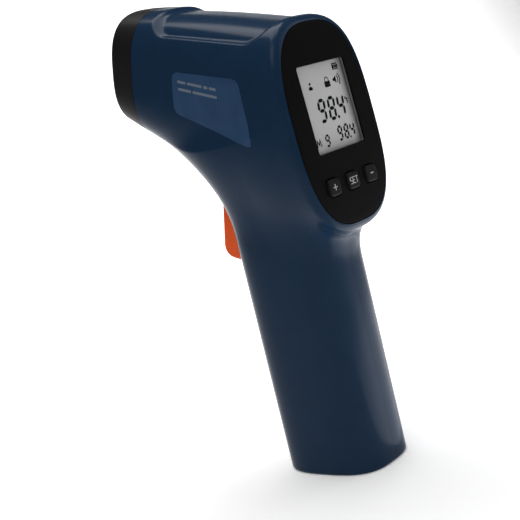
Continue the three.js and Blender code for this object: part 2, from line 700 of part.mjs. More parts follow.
// A helix of wire standing on z = 0.
function coilSpring(radius, wire, height, turns) {
  class Helix extends THREE.Curve {
    getPoint(t, target = new THREE.Vector3()) {
      const angle = t * turns * Math.PI * 2;
      return target.set(radius * Math.cos(angle), radius * Math.sin(angle), wire + t * (height - 2 * wire));
    }
  }
  const section = new THREE.Shape();
  section.absarc(0, 0, wire, 0, Math.PI * 2);
  return new THREE.ExtrudeGeometry(section, {
    extrudePath: new Helix(), steps: turns * 8, curveSegments: 2,
  });
}

// ---------------------------------------------------------------- batteries and door

function batteryDoor() {
  const { halfWidth, low, high } = DOOR;
  const skin = outerBody.subtract(innerBody);
  let solid = skin.intersect(toSolid(box(-25, -12, -halfWidth, halfWidth, low, high)));
  const hook = toSolid(box(-14.7, -13.6, -5, 5, low - 2.4, low + 6));
  const hookRoot = toSolid(box(-16.4, -13.6, -5, 5, low + 0.4, low + 6));
  const clip = toSolid(box(-16.4, -13.8, -3.5, 3.5, high - 4, high - 0.5));
  solid = solid.add(hook).add(hookRoot).add(clip);
  for (let i = 0; i < 4; i += 1) {
    const z = high - 6 - i * 2.2;
    solid = solid.subtract(toSolid(box(-19, -17.6, -4.5, 4.5, z - 0.5, z + 0.5)));
  }
  return piece('battery_door', solid, navy);
}

const tray = { bottom: TRAY.low + TRAY.wall, top: TRAY.high - TRAY.wall };
const PLATE = 0.4;
const SPRING_HEIGHT = 5.4;
const SEAT = 0.1;

function batteryTray() {
  const { front, rear, halfWidth, low, high, wall } = TRAY;
  let solid = toSolid(box(front, rear, -halfWidth, halfWidth, low, high));
  const insideHalf = halfWidth - wall - 0.2;
  const inside = box(front - 1, rear - wall, -insideHalf, insideHalf, tray.bottom, tray.top);
  solid = solid.subtract(toSolid(inside));
  CELL_X.forEach((x) => {
    solid = solid.subtract(toSolid(rodZ(0.9, tray.top - 1, high + 1, x, 3.2, 12)));
  });
  return piece('battery_tray', solid, greyPlastic);
}

function batteryContacts() {
  const low = tray.bottom + SEAT;
  const high = tray.top - SEAT;
  const springLow = coilSpring(3, 0.35, SPRING_HEIGHT, 4);
  const springHigh = springLow.clone();
  springLow.translate(CELL_X[0], 0, low + PLATE + SEAT);
  springHigh.translate(CELL_X[1], 0, high - PLATE - SEAT - SPRING_HEIGHT);
  return [
    piece('link_plate', box(-12.6, 7.6, -4, 4, low, low + PLATE), steel),
    piece('terminal_plate_1', box(-12.6, -3.2, -4, 4, high - PLATE, high), steel),
    piece('terminal_plate_2', box(-1.8, 7.6, -4, 4, high - PLATE, high), steel),
    piece('contact_spring_1', springLow, springSteel),
    piece('contact_spring_2', springHigh, springSteel),
  ];
}

function battery(index) {
  const { radius, length, nubRadius, nub } = CELL;
  const profile = [
    [0, 0], [radius - 0.5, 0], [radius, 0.5], [radius, length - 0.5], [radius - 0.5, length],
    [nubRadius, length], [nubRadius, length + nub], [0, length + nub],
  ].map(([r, z]) => new THREE.Vector2(r, z));
  const geometry = new THREE.LatheGeometry(profile, 20).rotateX(Math.PI / 2);
  const plateTop = tray.bottom + SEAT + PLATE + SEAT;
  if (index === 0) {
    geometry.translate(CELL_X[0], 0, plateTop + SPRING_HEIGHT + SEAT);
  } else {
    geometry.rotateX(Math.PI).translate(CELL_X[1], 0, plateTop + length + nub);
  }
  return piece(`battery_${index + 1}`, facingOut(geometry), cellSleeve);
}

function batteryLead(name, side, startX, material) {
  const path = new THREE.CatmullRomCurve3([
    new THREE.Vector3(startX, 3.2, tray.top + 0.05),
    new THREE.Vector3(startX, 3.2, TRAY.high + 2),
    new THREE.Vector3(-1, 3.2 * side, 63),
    new THREE.Vector3(0, 4 * side, 71),
    new THREE.Vector3(8, 4 * side, 80),
    new THREE.Vector3(16.9, 4 * side, 85),
  ]);
  const section = new THREE.Shape();
  section.absarc(0, 0, 0.55, 0, Math.PI * 2);
  return piece(name, new THREE.ExtrudeGeometry(section, {
    extrudePath: path, steps: 14, curveSegments: 3,
  }), material);
}

// ---------------------------------------------------------------- casing screws

function casingScrews() {
  const under = SCREW.seat + 0.1;
  return screwPlaces().map((place, i) => {
    const head = toSolid(rodY(SCREW.head, under, under + SCREW.headHeight, place.x, place.z, 16));
    const shank = toSolid(rodY(SCREW.shank, SCREW.tip, SCREW.seat + 0.6, place.x, place.z, 16));
    const slot = toSolid(box(
      place.x - 0.3, place.x + 0.3, SCREW.seat + 1, SCREW.seat + 3, place.z - 1.4, place.z + 1.4,
    ));
    return piece(`casing_screw_${i + 1}`, head.add(shank).subtract(slot), steel);
  });
}

// ---------------------------------------------------------------- assembly

const display = new THREE.Group();
display.rotation.y = -DISPLAY_TILT;
display.add(displayBezel(), ...displayStack(), mainBoard(), ...boardPieces());
KEY_NAMES.forEach((name, index) => {
  const key = keyPieces(name, index);
  display.add(key.cap, key.stem, key.body);
});

const head = new THREE.Group();
head.rotation.y = HEAD_TILT;
head.position.set(HEAD_X, 0, HEAD_Z);
head.add(display, ...sensorPieces(), sensorRibbon());

const thermometer = new THREE.Group();
thermometer.add(head);
thermometer.add(casingHalf('left_shell', -1), casingHalf('right_shell', 1), noseCap(), sideLabel());
thermometer.add(...triggerPieces(), batteryDoor(), batteryTray(), ...batteryContacts());
thermometer.add(battery(0), battery(1), ...casingScrews());
thermometer.add(batteryLead('battery_lead_red', 1, CELL_X[0], leadRed));
thermometer.add(batteryLead('battery_lead_black', -1, CELL_X[1], leadBlack));

export default thermometer;
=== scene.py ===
"""Looks of a pistol-grip infrared thermometer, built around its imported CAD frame.

Shapes are made in millimetres and turned into metres as each mesh is made. The standing frame is
the frame's own: +Z up the handle, +X out of the display, -X towards the nose.
"""

import math

import bmesh
import bpy
import numpy as np
from mathutils import Matrix, Vector


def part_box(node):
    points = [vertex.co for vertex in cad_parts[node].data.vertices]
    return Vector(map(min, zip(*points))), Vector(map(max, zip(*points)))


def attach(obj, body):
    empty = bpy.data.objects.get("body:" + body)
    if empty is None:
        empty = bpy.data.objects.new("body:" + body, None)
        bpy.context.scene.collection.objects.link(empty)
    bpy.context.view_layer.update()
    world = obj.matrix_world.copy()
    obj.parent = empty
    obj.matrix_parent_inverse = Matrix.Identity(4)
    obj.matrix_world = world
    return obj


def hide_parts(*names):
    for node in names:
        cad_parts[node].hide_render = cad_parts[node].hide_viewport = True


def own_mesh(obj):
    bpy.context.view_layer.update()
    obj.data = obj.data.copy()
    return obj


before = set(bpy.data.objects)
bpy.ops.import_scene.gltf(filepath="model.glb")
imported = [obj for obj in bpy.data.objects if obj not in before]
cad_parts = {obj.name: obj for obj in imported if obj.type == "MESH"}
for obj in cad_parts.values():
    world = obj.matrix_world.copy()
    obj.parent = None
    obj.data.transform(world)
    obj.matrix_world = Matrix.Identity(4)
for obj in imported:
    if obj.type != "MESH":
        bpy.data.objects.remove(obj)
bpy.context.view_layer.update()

# ------------------------------------------------------------------ driving dimensions (mm)

MM = 0.001

HEAD_TILT = math.radians(15.1)
HEAD_ORIGIN = (23.43, 0.0, 123.3)
DISPLAY_TILT = math.radians(18)
STANDING = Matrix.Identity(4)
HEAD = Matrix.Translation(HEAD_ORIGIN) @ Matrix.Rotation(HEAD_TILT, 4, "Y")
DISPLAY = HEAD @ Matrix.Rotation(-DISPLAY_TILT, 4, "Y")

# Barrel sections, from the nose to the display's rim, and the handle's column.
NOSE_X, NOSE_Z = -68.4, -5.45
NOSE_HALF_WIDTH, NOSE_HALF_HEIGHT, NOSE_POWER = 16.8, 17.45, 2.9
RIM_Z, RIM_LIFT = -17.3, 0.2
RIM_HALF_WIDTH, RIM_HALF_HEIGHT, RIM_POWER = 21.7, 30.7, 3.06
TOP_CROWN, BELLY_CROWN, SIDE_CROWN = 1.0, 0.9, -0.2
HANDLE_HALF_DEPTH, HANDLE_HALF_WIDTH, HANDLE_POWER, HANDLE_TOP = 18.1, 13.9, 3.0, 100.0
FRONT_BLEND, REAR_BLEND = 14.2, 12.0
RIM_ROUND, NOSE_ROUND, FOOT_ROUND = 2.5, 1.6, 1.1
WALL = 2.0

# The shallow panel over the barrel's top. Its front wall slopes, its other walls are steep.
PANEL_FRONT, PANEL_REAR, PANEL_LOW, PANEL_CORNER = -52.8, -8.0, 6.4, 6.5
PANEL_DEPTH, PANEL_FRONT_RUN, PANEL_SIDE_RUN = 1.3, 1.8, 0.2
PANEL_FOOT_ROUND, PANEL_EDGE_ROUND = 0.7, 0.5

PARTING_Y, PARTING_GAP = 0.5, 0.03
SEAM_X, SEAM_GAP = -58.6, 0.14

# Inside the casing: the ledge that the bezel sits on, the screw bosses and the pin's lugs.
LEDGE_WIDTH, LEDGE_THICKNESS = 1.5, 2
BOSS_RADIUS, LUG_RADIUS, LUG_GAP = 3, 2.6, 0.7

# The nose's face and wall, its spigot and the flare round its mouth.
CAP_FACE, CAP_WALL = 2.6, 1.9
SPIGOT_GAP, SPIGOT_ROOT, SPIGOT_REACH = 0.3, 1, 3
MOUTH_GAP, MOUTH_FLARE, MOUTH_LAND = 1, 3.4, 0.35

# The smallest radius of a turned profile, which closes it at its axis.
AXIS = 0.02

BEZEL_HALF_WIDTH, BEZEL_HALF_HEIGHT, BEZEL_POWER, BEZEL_Z = 19.65, 29.55, 2.83, -17.55
BEZEL_BACK, BEZEL_RIM, BEZEL_CROWN, BEZEL_GAP = -2.6, 0.1, 0.35, 0.2
WINDOW_WIDTH, WINDOW_HEIGHT, WINDOW_CORNER = 23.2, 25.45, 0.8
LCD_FACE = -1.2
KEY_WIDTH, KEY_HEIGHT, KEY_CORNER, KEY_PITCH, KEY_Z, KEY_TOP = 5.6, 4.9, 1.4, 9.5, -35.2, 1.0
KEY_GAP = 0.35

SLOT_HALF_WIDTH, SLOT_LOW, SLOT_HIGH = 5.2, 67.8, 94.2
TRIGGER_X, TRIGGER_Z, TRIGGER_HALF_WIDTH, TRIGGER_SWEEP, TRIGGER_HUB = -15.5, 89.5, 4.9, 21.2, 3.8
TRIGGER_BACK = -13.2
SPRING_Z, SPRING_WIRE, SPRING_TURNS, SPRING_SQUEEZED = 80, 0.3, 5, 0.84

DOOR_HALF_WIDTH, DOOR_LOW, DOOR_HIGH, DOOR_GAP = 9.0, 6.0, 58.0, 0.25
DOOR_FRONT, DOOR_DEEP = -25, -12
SCREW_HEAD, SCREW_SEAT, WELL_GAP = 2.1, 6.0, 0.3
SCREWS_IN_HEAD = ((-44.0, -20.0), (-22.0, 3.5))
SCREWS_IN_HANDLE = ((6.0, 66.0), (12.4, 8.0))

LABEL_CORNERS = ((-40.8, -3.1), (-14.1, -3.1), (-8.7, -22.4), (-40.6, -15.4))
LABEL_CORNER, LABEL_THICKNESS, LABEL_GAP = 2.6, 0.4, 0.04

SENSOR_MOUTH_X, SENSOR_MOUTH_RADIUS, SENSOR_THROAT_RADIUS = -67.7, 9.4, 4.2

OUTER_CELL, INNER_CELL = 0.6, 1.3


# ------------------------------------------------------------------ casing surface

def blended_min(a, b, width):
    overlap = np.maximum(width - np.abs(a - b), 0) / width
    return np.minimum(a, b) - overlap * overlap * width / 4


def rounded_max(a, b, radius):
    """The larger of two distances, with an edge of the given radius where they meet."""
    outside = np.hypot(np.maximum(a + radius, 0), np.maximum(b + radius, 0))
    return np.minimum(np.maximum(a, b), -radius) + outside


def smooth_step(value, low, high):
    share = np.clip((value - low) / (high - low), 0, 1)
    return share * share * (3 - 2 * share)


def mix(a, b, share):
    return a + (b - a) * share


def section_distance(across, up, half_width, half_height, power):
    size = (np.abs(across / half_width) ** power + np.abs(up / half_height) ** power) ** (1 / power)
    return (size - 1) * np.minimum(half_width, half_height)


def head_coordinates(p):
    x = p[:, 0] - HEAD_ORIGIN[0]
    z = p[:, 2] - HEAD_ORIGIN[2]
    c, s = math.cos(HEAD_TILT), math.sin(HEAD_TILT)
    return x * c - z * s, p[:, 1], x * s + z * c


DISPLAY_COS, DISPLAY_SIN = math.cos(DISPLAY_TILT), math.sin(DISPLAY_TILT)
RIM_CENTRE_X = -RIM_Z * DISPLAY_SIN + RIM_LIFT * DISPLAY_COS
RIM_CENTRE_Z = RIM_Z * DISPLAY_COS + RIM_LIFT * DISPLAY_SIN


def side_distance(p):
    """Distance to the casing's long sides: the barrel blended into the handle, without ends."""
    x, y, z = head_coordinates(p)
    before_rim = (RIM_CENTRE_X - x) * DISPLAY_COS + (RIM_CENTRE_Z - z) * DISPLAY_SIN
    behind_nose = x - NOSE_X
    along = np.clip(behind_nose / np.maximum(behind_nose + before_rim, 1e-6), -0.1, 1.15)
    bulge = np.maximum(4 * along * (1 - along), 0)
    turn = DISPLAY_TILT * along
    centre_x = mix(NOSE_X, RIM_CENTRE_X, along)
    centre_z = mix(NOSE_Z, RIM_CENTRE_Z, along)
    up = (z - centre_z) * np.cos(turn) - (x - centre_x) * np.sin(turn)
    crown = np.where(up > 0, TOP_CROWN, BELLY_CROWN)
    half_height = mix(NOSE_HALF_HEIGHT, RIM_HALF_HEIGHT, along) + crown * bulge
    half_width = mix(NOSE_HALF_WIDTH, RIM_HALF_WIDTH, along) + SIDE_CROWN * bulge
    power = mix(NOSE_POWER, RIM_POWER, np.clip(along, 0, 1))
    barrel = section_distance(y, up, half_width, half_height, power)
    column = section_distance(p[:, 0], y, HANDLE_HALF_DEPTH, HANDLE_HALF_WIDTH, HANDLE_POWER)
    handle = np.maximum(column, p[:, 2] - HANDLE_TOP)
    blend = mix(REAR_BLEND, FRONT_BLEND, smooth_step(-p[:, 0], -2, 16))
    return blended_min(barrel, handle, blend)


def slope_of(distance, p, step=0.02):
    """The gradient of a distance at each point, by central differences."""
    gradient = np.empty_like(p)
    for axis in range(3):
        offset = np.zeros(3)
        offset[axis] = step
        gradient[:, axis] = (distance(p + offset) - distance(p - offset)) / (2 * step)
    return gradient


def true_side_distance(p):
    slope = np.linalg.norm(slope_of(side_distance, p), axis=1)
    return side_distance(p) / np.maximum(slope, 0.3)


def panel_distance(x, z, share_down):
    """Distance to the outline of the top panel, seen from the side, at a share of its depth."""
    front = PANEL_FRONT + PANEL_FRONT_RUN * share_down
    low = PANEL_LOW + PANEL_SIDE_RUN * share_down
    rear = PANEL_REAR - PANEL_SIDE_RUN * share_down
    qx = np.abs(x - (front + rear) / 2) - (rear - front) / 2 + PANEL_CORNER
    qz = low - z + PANEL_CORNER
    outside = np.hypot(np.maximum(qx, 0), np.maximum(qz, 0))
    return outside + np.minimum(np.maximum(qx, qz), 0) - PANEL_CORNER


def casing_distance(p, side=true_side_distance, panel=True):
    """Distance to the closed casing: long sides, display plane, nose, foot and top panel."""
    x, y, z = head_coordinates(p)
    beyond_rim = (x - RIM_CENTRE_X) * DISPLAY_COS + (z - RIM_CENTRE_Z) * DISPLAY_SIN
    body = side(p)
    if panel:
        share_down = np.clip(-body / PANEL_DEPTH, -0.6, 1.4)
        wall = -panel_distance(x, z, share_down)
        kept = blended_min(wall, body + PANEL_DEPTH, PANEL_FOOT_ROUND)
        body = -blended_min(-body, -kept, PANEL_EDGE_ROUND)
    body = rounded_max(body, beyond_rim, RIM_ROUND)
    body = rounded_max(body, NOSE_X - x, NOSE_ROUND)
    return rounded_max(body, -p[:, 2], FOOT_ROUND)


# ------------------------------------------------------------------ surfaces from distances

def grid_part(starts, lengths):
    """The index of a box of a grid, from its first corner and its size in entries."""
    return tuple(slice(first, first + length) for first, length in zip(starts, lengths))


def crossing_mesh(distance, low, high, cell):
    """Quads round the zero of a distance: one vertex in each grid cell that it crosses."""
    counts = [int(math.ceil((high[k] - low[k]) / cell)) + 1 for k in range(3)]
    axes = [low[k] + cell * np.arange(counts[k]) for k in range(3)]
    values = np.empty(counts)
    for i, x in enumerate(axes[0]):
        grid_y, grid_z = np.meshgrid(axes[1], axes[2], indexing="ij")
        points = np.stack([np.full(grid_y.size, x), grid_y.ravel(), grid_z.ravel()], axis=1)
        values[i] = distance(points).reshape(grid_y.shape)
    inside = values < 0
    cells = [n - 1 for n in counts]
    total = np.zeros(cells + [3])
    weight = np.zeros(cells)
    steps = [(0, 0), (0, 1), (1, 0), (1, 1)]
    for axis in range(3):
        others = [k for k in range(3) if k != axis]
        for first, second in steps:
            start = [0, 0, 0]
            start[others[0]], start[others[1]] = first, second
            end = list(start)
            end[axis] = 1
            a, b = values[grid_part(start, cells)], values[grid_part(end, cells)]
            crossed = (a < 0) != (b < 0)
            share = np.where(crossed, a / np.where(crossed, a - b, 1), 0)
            total[..., axis] += np.where(crossed, share, 0)
            total[..., others[0]] += np.where(crossed, first, 0)
            total[..., others[1]] += np.where(crossed, second, 0)
            weight += crossed
    used = weight > 0
    number = np.full(cells, -1)
    number[used] = np.arange(used.sum())
    corner = np.argwhere(used)
    vertices = np.array(low) + cell * (corner + total[used] / weight[used][:, None])
    faces = []
    for axis in range(3):
        others = [(axis + 1) % 3, (axis + 2) % 3]
        lengths = [n - 2 for n in counts]
        lengths[axis] += 1
        start = [1, 1, 1]
        start[axis] = 0
        a, b = inside[grid_part(start, lengths)], inside[grid_part((1, 1, 1), lengths)]
        for flipped, chosen in ((False, a & ~b), (True, ~a & b)):
            where = np.argwhere(chosen)
            where[:, others] += 1
            ring = []
            for back in ((1, 1), (0, 1), (0, 0), (1, 0)):
                place = where.copy()
                place[:, others] -= back
                ring.append(number[tuple(place.T)])
            faces.append(np.stack(ring[::-1] if flipped else ring, axis=1))
    return vertices, np.concatenate(faces)


def drawn_onto(distance, vertices, rounds, reach):
    """Moves vertices onto the zero of a distance by Newton steps no longer than reach."""
    for _ in range(rounds):
        value = distance(vertices)
        slope = slope_of(distance, vertices)
        length = np.maximum(np.linalg.norm(slope, axis=1), 0.2)
        step = np.clip(value / length, -reach, reach)
        vertices = vertices - slope * (step / length)[:, None]
    return vertices


def evened(distance, vertices, faces, rounds):
    """Spreads the vertices evenly over the surface, and keeps them on it."""
    edges = np.concatenate([faces[:, [k, (k + 1) % 4]] for k in range(4)])
    count = np.bincount(edges[:, 0], minlength=len(vertices)).astype(float)
    for _ in range(rounds):
        across = vertices[edges[:, 1]]
        mean = np.stack([
            np.bincount(edges[:, 0], weights=across[:, k], minlength=len(vertices))
            for k in range(3)
        ], axis=1) / count[:, None]
        shift = (mean - vertices) * 0.5
        slope = slope_of(distance, vertices)
        slope /= np.maximum(np.linalg.norm(slope, axis=1), 1e-9)[:, None]
        shift -= slope * (shift * slope).sum(axis=1)[:, None]
        vertices = drawn_onto(distance, vertices + shift, 1, 0.2)
    return vertices


# ------------------------------------------------------------------ mesh helpers

def new_object(name, vertices, faces, place=STANDING):
    """An object from vertices in millimetres, in the given frame."""
    mesh = bpy.data.meshes.new(name)
    points = np.asarray(vertices, float)
    matrix = np.array(place)
    points = (points @ matrix[:3, :3].T + matrix[:3, 3]) * MM
    if isinstance(faces, np.ndarray):
        faces = faces.tolist()
    mesh.from_pydata(points.tolist(), [], faces)
    mesh.validate()
    made = bpy.data.objects.new(name, mesh)
    bpy.context.scene.collection.objects.link(made)
    return made


def face_outwards(made):
    work = bmesh.new()
    work.from_mesh(made.data)
    bmesh.ops.recalc_face_normals(work, faces=work.faces)
    if work.calc_volume(signed=True) < 0:
        bmesh.ops.reverse_faces(work, faces=work.faces)
    work.to_mesh(made.data)
    work.free()
    return made


def tube_faces(rings, sides, start=0, closed=False):
    """Quads between neighbouring rings, and from the last to the first one if closed."""
    faces = []
    for r in range(rings if closed else rings - 1):
        a, b = start + r * sides, start + (r + 1) % rings * sides
        for i in range(sides):
            j = (i + 1) % sides
            faces.append((a + i, a + j, b + j, b + i))
    return faces


def capped_faces(rings, sides, start=0):
    last = start + (rings - 1) * sides
    ends = [tuple(range(start, start + sides))[::-1], tuple(range(last, last + sides))]
    return tube_faces(rings, sides, start) + ends


def loft(name, rings, place=STANDING):
    """Rings of equal length joined side by side, with flat ends."""
    vertices = [point for ring in rings for point in ring]
    faces = capped_faces(len(rings), len(rings[0]))
    return face_outwards(new_object(name, vertices, faces, place))


def block(name, low, high, place=STANDING):
    (x0, y0, z0), (x1, y1, z1) = low, high
    rings = [[(x, y0, z0), (x, y1, z0), (x, y1, z1), (x, y0, z1)] for x in (x0, x1)]
    return loft(name, rings, place)


def prism_x(name, outline, start, end, place=STANDING):
    """An outline of (y, z) points pushed along X."""
    return loft(name, [[(x, y, z) for y, z in outline] for x in (start, end)], place)


def prism_y(name, outline, start, end, place=STANDING):
    """An outline of (x, z) points pushed along Y."""
    return loft(name, [[(x, y, z) for x, z in outline] for y in (start, end)], place)


def arc_points(centre, radius, start, end, steps):
    turns = [mix(start, end, i / steps) for i in range(steps + 1)]
    return [(centre[0] + radius * math.cos(a), centre[1] + radius * math.sin(a)) for a in turns]


def circle(centre, radius, sides):
    return arc_points(centre, radius, 0, math.tau, sides)[:-1]


def bend_points(start, corner, end, steps):
    """Points on the smooth bend from start to end that leans towards the corner."""
    start, corner, end = Vector(start), Vector(corner), Vector(end)
    points = []
    for i in range(steps + 1):
        t = i / steps
        points.append(tuple(start * (1 - t) ** 2 + corner * 2 * t * (1 - t) + end * t ** 2))
    return points


def rod(name, radius, start, end, axis, centre, sides=48):
    """A rod along one axis; its centre gives the other two coordinates."""
    outline = circle(centre, radius, sides)
    return loft(name, [[p[:axis] + (along,) + p[axis:] for p in outline] for along in (start, end)])


def turned(name, profile, place, sides=96):
    """A closed profile of (depth, radius) points turned about the X axis of its frame."""
    vertices = []
    for depth, radius in profile:
        vertices += [(depth, y, z) for y, z in circle((0, 0), radius, sides)]
    faces = tube_faces(len(profile), sides, closed=True)
    return face_outwards(new_object(name, vertices, faces, place))


def rounded_rectangle(width, height, radius, centre):
    points = []
    for quarter, (sx, sy) in enumerate(((1, 1), (-1, 1), (-1, -1), (1, -1))):
        corner = (centre[0] + sx * (width / 2 - radius), centre[1] + sy * (height / 2 - radius))
        start = math.pi / 2 * quarter
        points += arc_points(corner, radius, start, start + math.pi / 2, 8)
    return points


def bezel_outline(grow, size=1.0):
    """The bezel's outline, a superellipse, grown by a distance and then scaled."""
    half_width, half_height = (BEZEL_HALF_WIDTH + grow) * size, (BEZEL_HALF_HEIGHT + grow) * size
    points = []
    for c, s in circle((0, 0), 1, 192):
        y = math.copysign(abs(c) ** (2 / BEZEL_POWER), c) * half_width
        points.append((y, BEZEL_Z + math.copysign(abs(s) ** (2 / BEZEL_POWER), s) * half_height))
    return points


def rounded_corners(corners, reach):
    """A polygon with each corner turned into a smooth bend that starts at the given distance."""
    points = []
    for i, corner in enumerate(corners):
        corner = Vector(corner)
        before = Vector(corners[i - 1])
        after = Vector(corners[(i + 1) % len(corners)])
        enter = corner + (before - corner).normalized() * reach
        leave = corner + (after - corner).normalized() * reach
        points += bend_points(enter, corner, leave, 8)
    return points


def cut(target, tools, operation="DIFFERENCE"):
    """Applies the target's modifiers and then each solid tool, and removes the tools."""
    for tool in tools:
        modifier = target.modifiers.new("cut", "BOOLEAN")
        modifier.operation = operation
        modifier.solver = "MANIFOLD"
        modifier.object = tool
    bpy.context.view_layer.update()
    graph = bpy.context.evaluated_depsgraph_get()
    mesh = bpy.data.meshes.new_from_object(target.evaluated_get(graph))
    target.modifiers.clear()
    old = target.data
    target.data = mesh
    bpy.data.meshes.remove(old)
    for tool in tools:
        bpy.data.objects.remove(tool)
    return target


def copy_of(source, name):
    made = bpy.data.objects.new(name, source.data.copy())
    bpy.context.scene.collection.objects.link(made)
    return made


# ------------------------------------------------------------------ casing pieces

BOX_LOW = (-54.0, -24.5, -2.0)
BOX_HIGH = (31.0, 24.5, 156.0)


def casing_body(name, inset, cell, panel):
    """The closed casing, made smaller by the inset, as one closed surface."""
    def rough(p):
        return casing_distance(p, side_distance, panel) + inset

    def fine(p):
        return casing_distance(p, true_side_distance, panel) + inset

    vertices, faces = crossing_mesh(rough, BOX_LOW, BOX_HIGH, cell)
    vertices = drawn_onto(fine, vertices, 3, cell)
    vertices = evened(fine, vertices, faces, 4)
    vertices = drawn_onto(fine, vertices, 1, cell)
    return face_outwards(new_object(name, vertices, faces))


def screw_places():
    places = [HEAD @ Vector((x, 0, z)) for x, z in SCREWS_IN_HEAD]
    places += [Vector((x, 0, z)) for x, z in SCREWS_IN_HANDLE]
    return places


def label_outline(grow):
    centre = sum((Vector(c) for c in LABEL_CORNERS), Vector((0, 0))) / len(LABEL_CORNERS)
    grown = [Vector(c) + (Vector(c) - centre).normalized() * grow for c in LABEL_CORNERS]
    return rounded_corners([tuple(c) for c in grown], LABEL_CORNER)


def cavity_tool(inner):
    """The casing's hollow: short of a ledge behind the bezel, and clear of the screw bosses."""
    ledge_back = BEZEL_BACK - LEDGE_THICKNESS
    ledge = prism_x("ledge", bezel_outline(6), ledge_back, BEZEL_BACK + 20, DISPLAY)
    bosses = [rod("boss", BOSS_RADIUS, -30, 30, 1, (p.x, p.z), sides=32) for p in screw_places()]
    for side in (-1, 1):
        near, far = sorted((side * (TRIGGER_HALF_WIDTH + LUG_GAP), side * 16))
        bosses.append(rod("lug", LUG_RADIUS, near, far, 1, (TRIGGER_X, TRIGGER_Z), sides=32))
    cut(inner, [ledge])
    outline = bezel_outline(-LEDGE_WIDTH)
    cut(inner, [prism_x("opening", outline, ledge_back - 5, BEZEL_BACK + 1, DISPLAY)], "UNION")
    return cut(inner, bosses)


def head_slab(name, start, end):
    """All of the head between two depths along its axis."""
    return block(name, (start, -40, -60), (end, 40, 40), HEAD)


def nose_shroud(outer):
    """The nose: a hollow cap with the sensor's round mouth, and a spigot that enters the casing."""
    cap = copy_of(outer, "nose_shroud")
    cut(cap, [head_slab("cap_box", -80, SEAM_X - SEAM_GAP)], "INTERSECT")
    spigot = casing_body("spigot", WALL + SPIGOT_GAP, INNER_CELL, False)
    cut(spigot, [head_slab("band", SEAM_X - SPIGOT_ROOT, SEAM_X + SPIGOT_REACH)], "INTERSECT")
    cut(cap, [spigot], "UNION")
    hollow = casing_body("hollow", WALL + CAP_WALL, INNER_CELL, False)
    cut(hollow, [head_slab("hollow_band", NOSE_X + CAP_FACE, SEAM_X + 5)], "INTERSECT")
    radius = SENSOR_MOUTH_RADIUS + MOUTH_GAP
    before, behind = -70, -60
    mouth = turned("mouth", [
        (before, AXIS), (before, radius + MOUTH_FLARE), (NOSE_X + MOUTH_LAND, radius),
        (behind, radius), (behind, AXIS),
    ], HEAD @ Matrix.Translation((0, 0, NOSE_Z)))
    return cut(cap, [hollow, mouth])


def doorway(name, gap):
    low = (DOOR_FRONT, -DOOR_HALF_WIDTH - gap, DOOR_LOW - gap)
    return block(name, low, (DOOR_DEEP, DOOR_HALF_WIDTH + gap, DOOR_HIGH + gap))


def label_tool(name, gap):
    return prism_y(name, label_outline(gap), -30, -6, HEAD)


def casing_side(outer, name, start, end):
    """The part of the casing between two planes across Y."""
    made = copy_of(outer, name)
    return cut(made, [block("side", (-90, start, -10), (90, end, 200))], "INTERSECT")


def casing_pieces():
    outer = casing_body("outer_body", 0.0, OUTER_CELL, True)
    inner = casing_body("inner_body", WALL, INNER_CELL, False)
    under_label = casing_body("under_label", LABEL_THICKNESS + 0.1, INNER_CELL, False)

    door = cut(copy_of(outer, "battery_cover"), [doorway("door_box", 0)], "INTERSECT")
    cut(door, [copy_of(inner, "door_inside")])

    cap = nose_shroud(outer)

    label = cut(copy_of(outer, "label_film"), [label_tool("label_prism", 0)], "INTERSECT")
    cut(label, [copy_of(under_label, "under")])

    hollow = cavity_tool(inner)
    seat = cut(label_tool("seat", LABEL_GAP), [under_label])
    cut(outer, [
        hollow,
        prism_x("pocket", bezel_outline(BEZEL_GAP), BEZEL_BACK - 0.3, 12, DISPLAY),
        head_slab("nose_box", -90, SEAM_X),
        block("slot", (-40, -SLOT_HALF_WIDTH, SLOT_LOW), (-14, SLOT_HALF_WIDTH, SLOT_HIGH)),
        doorway("doorway", DOOR_GAP),
        seat,
    ])
    left = casing_side(outer, "left_casing", -60, PARTING_Y - PARTING_GAP / 2)
    right = casing_side(outer, "right_casing", PARTING_Y + PARTING_GAP / 2, 60)
    bpy.data.objects.remove(outer)
    wells = [
        rod("well", SCREW_HEAD + WELL_GAP, SCREW_SEAT, 40, 1, (p.x, p.z)) for p in screw_places()
    ]
    cut(right, wells)
    return left, right, cap, label, door


# ------------------------------------------------------------------ display face

def crowned_height(share):
    """How far the bezel's face stands out, at a share of the way from its middle to its edge."""
    return BEZEL_RIM + BEZEL_CROWN * (1 - share * share)


def bezel_ring(height, grow=0.0, size=1.0):
    return [(height, y, z) for y, z in bezel_outline(grow, size)]


def flared_prism(name, outline_at, face):
    """A cutting prism along X whose last stretch widens, to leave a chamfered edge at the face."""
    rings = []
    for height, grow in ((-6, 0), (face - 0.12, 0), (face + 0.9, 1.0)):
        rings.append([(height, y, z) for y, z in outline_at(grow)])
    return loft(name, rings, DISPLAY)


def window_outline(grow):
    size = (WINDOW_WIDTH + 2 * grow, WINDOW_HEIGHT + 2 * grow)
    return rounded_rectangle(*size, WINDOW_CORNER + grow, (0, -WINDOW_HEIGHT / 2))


def key_outline(index, grow):
    centre = ((index - 1) * KEY_PITCH, KEY_Z)
    return rounded_rectangle(KEY_WIDTH + 2 * grow, KEY_HEIGHT + 2 * grow, KEY_CORNER + grow, centre)


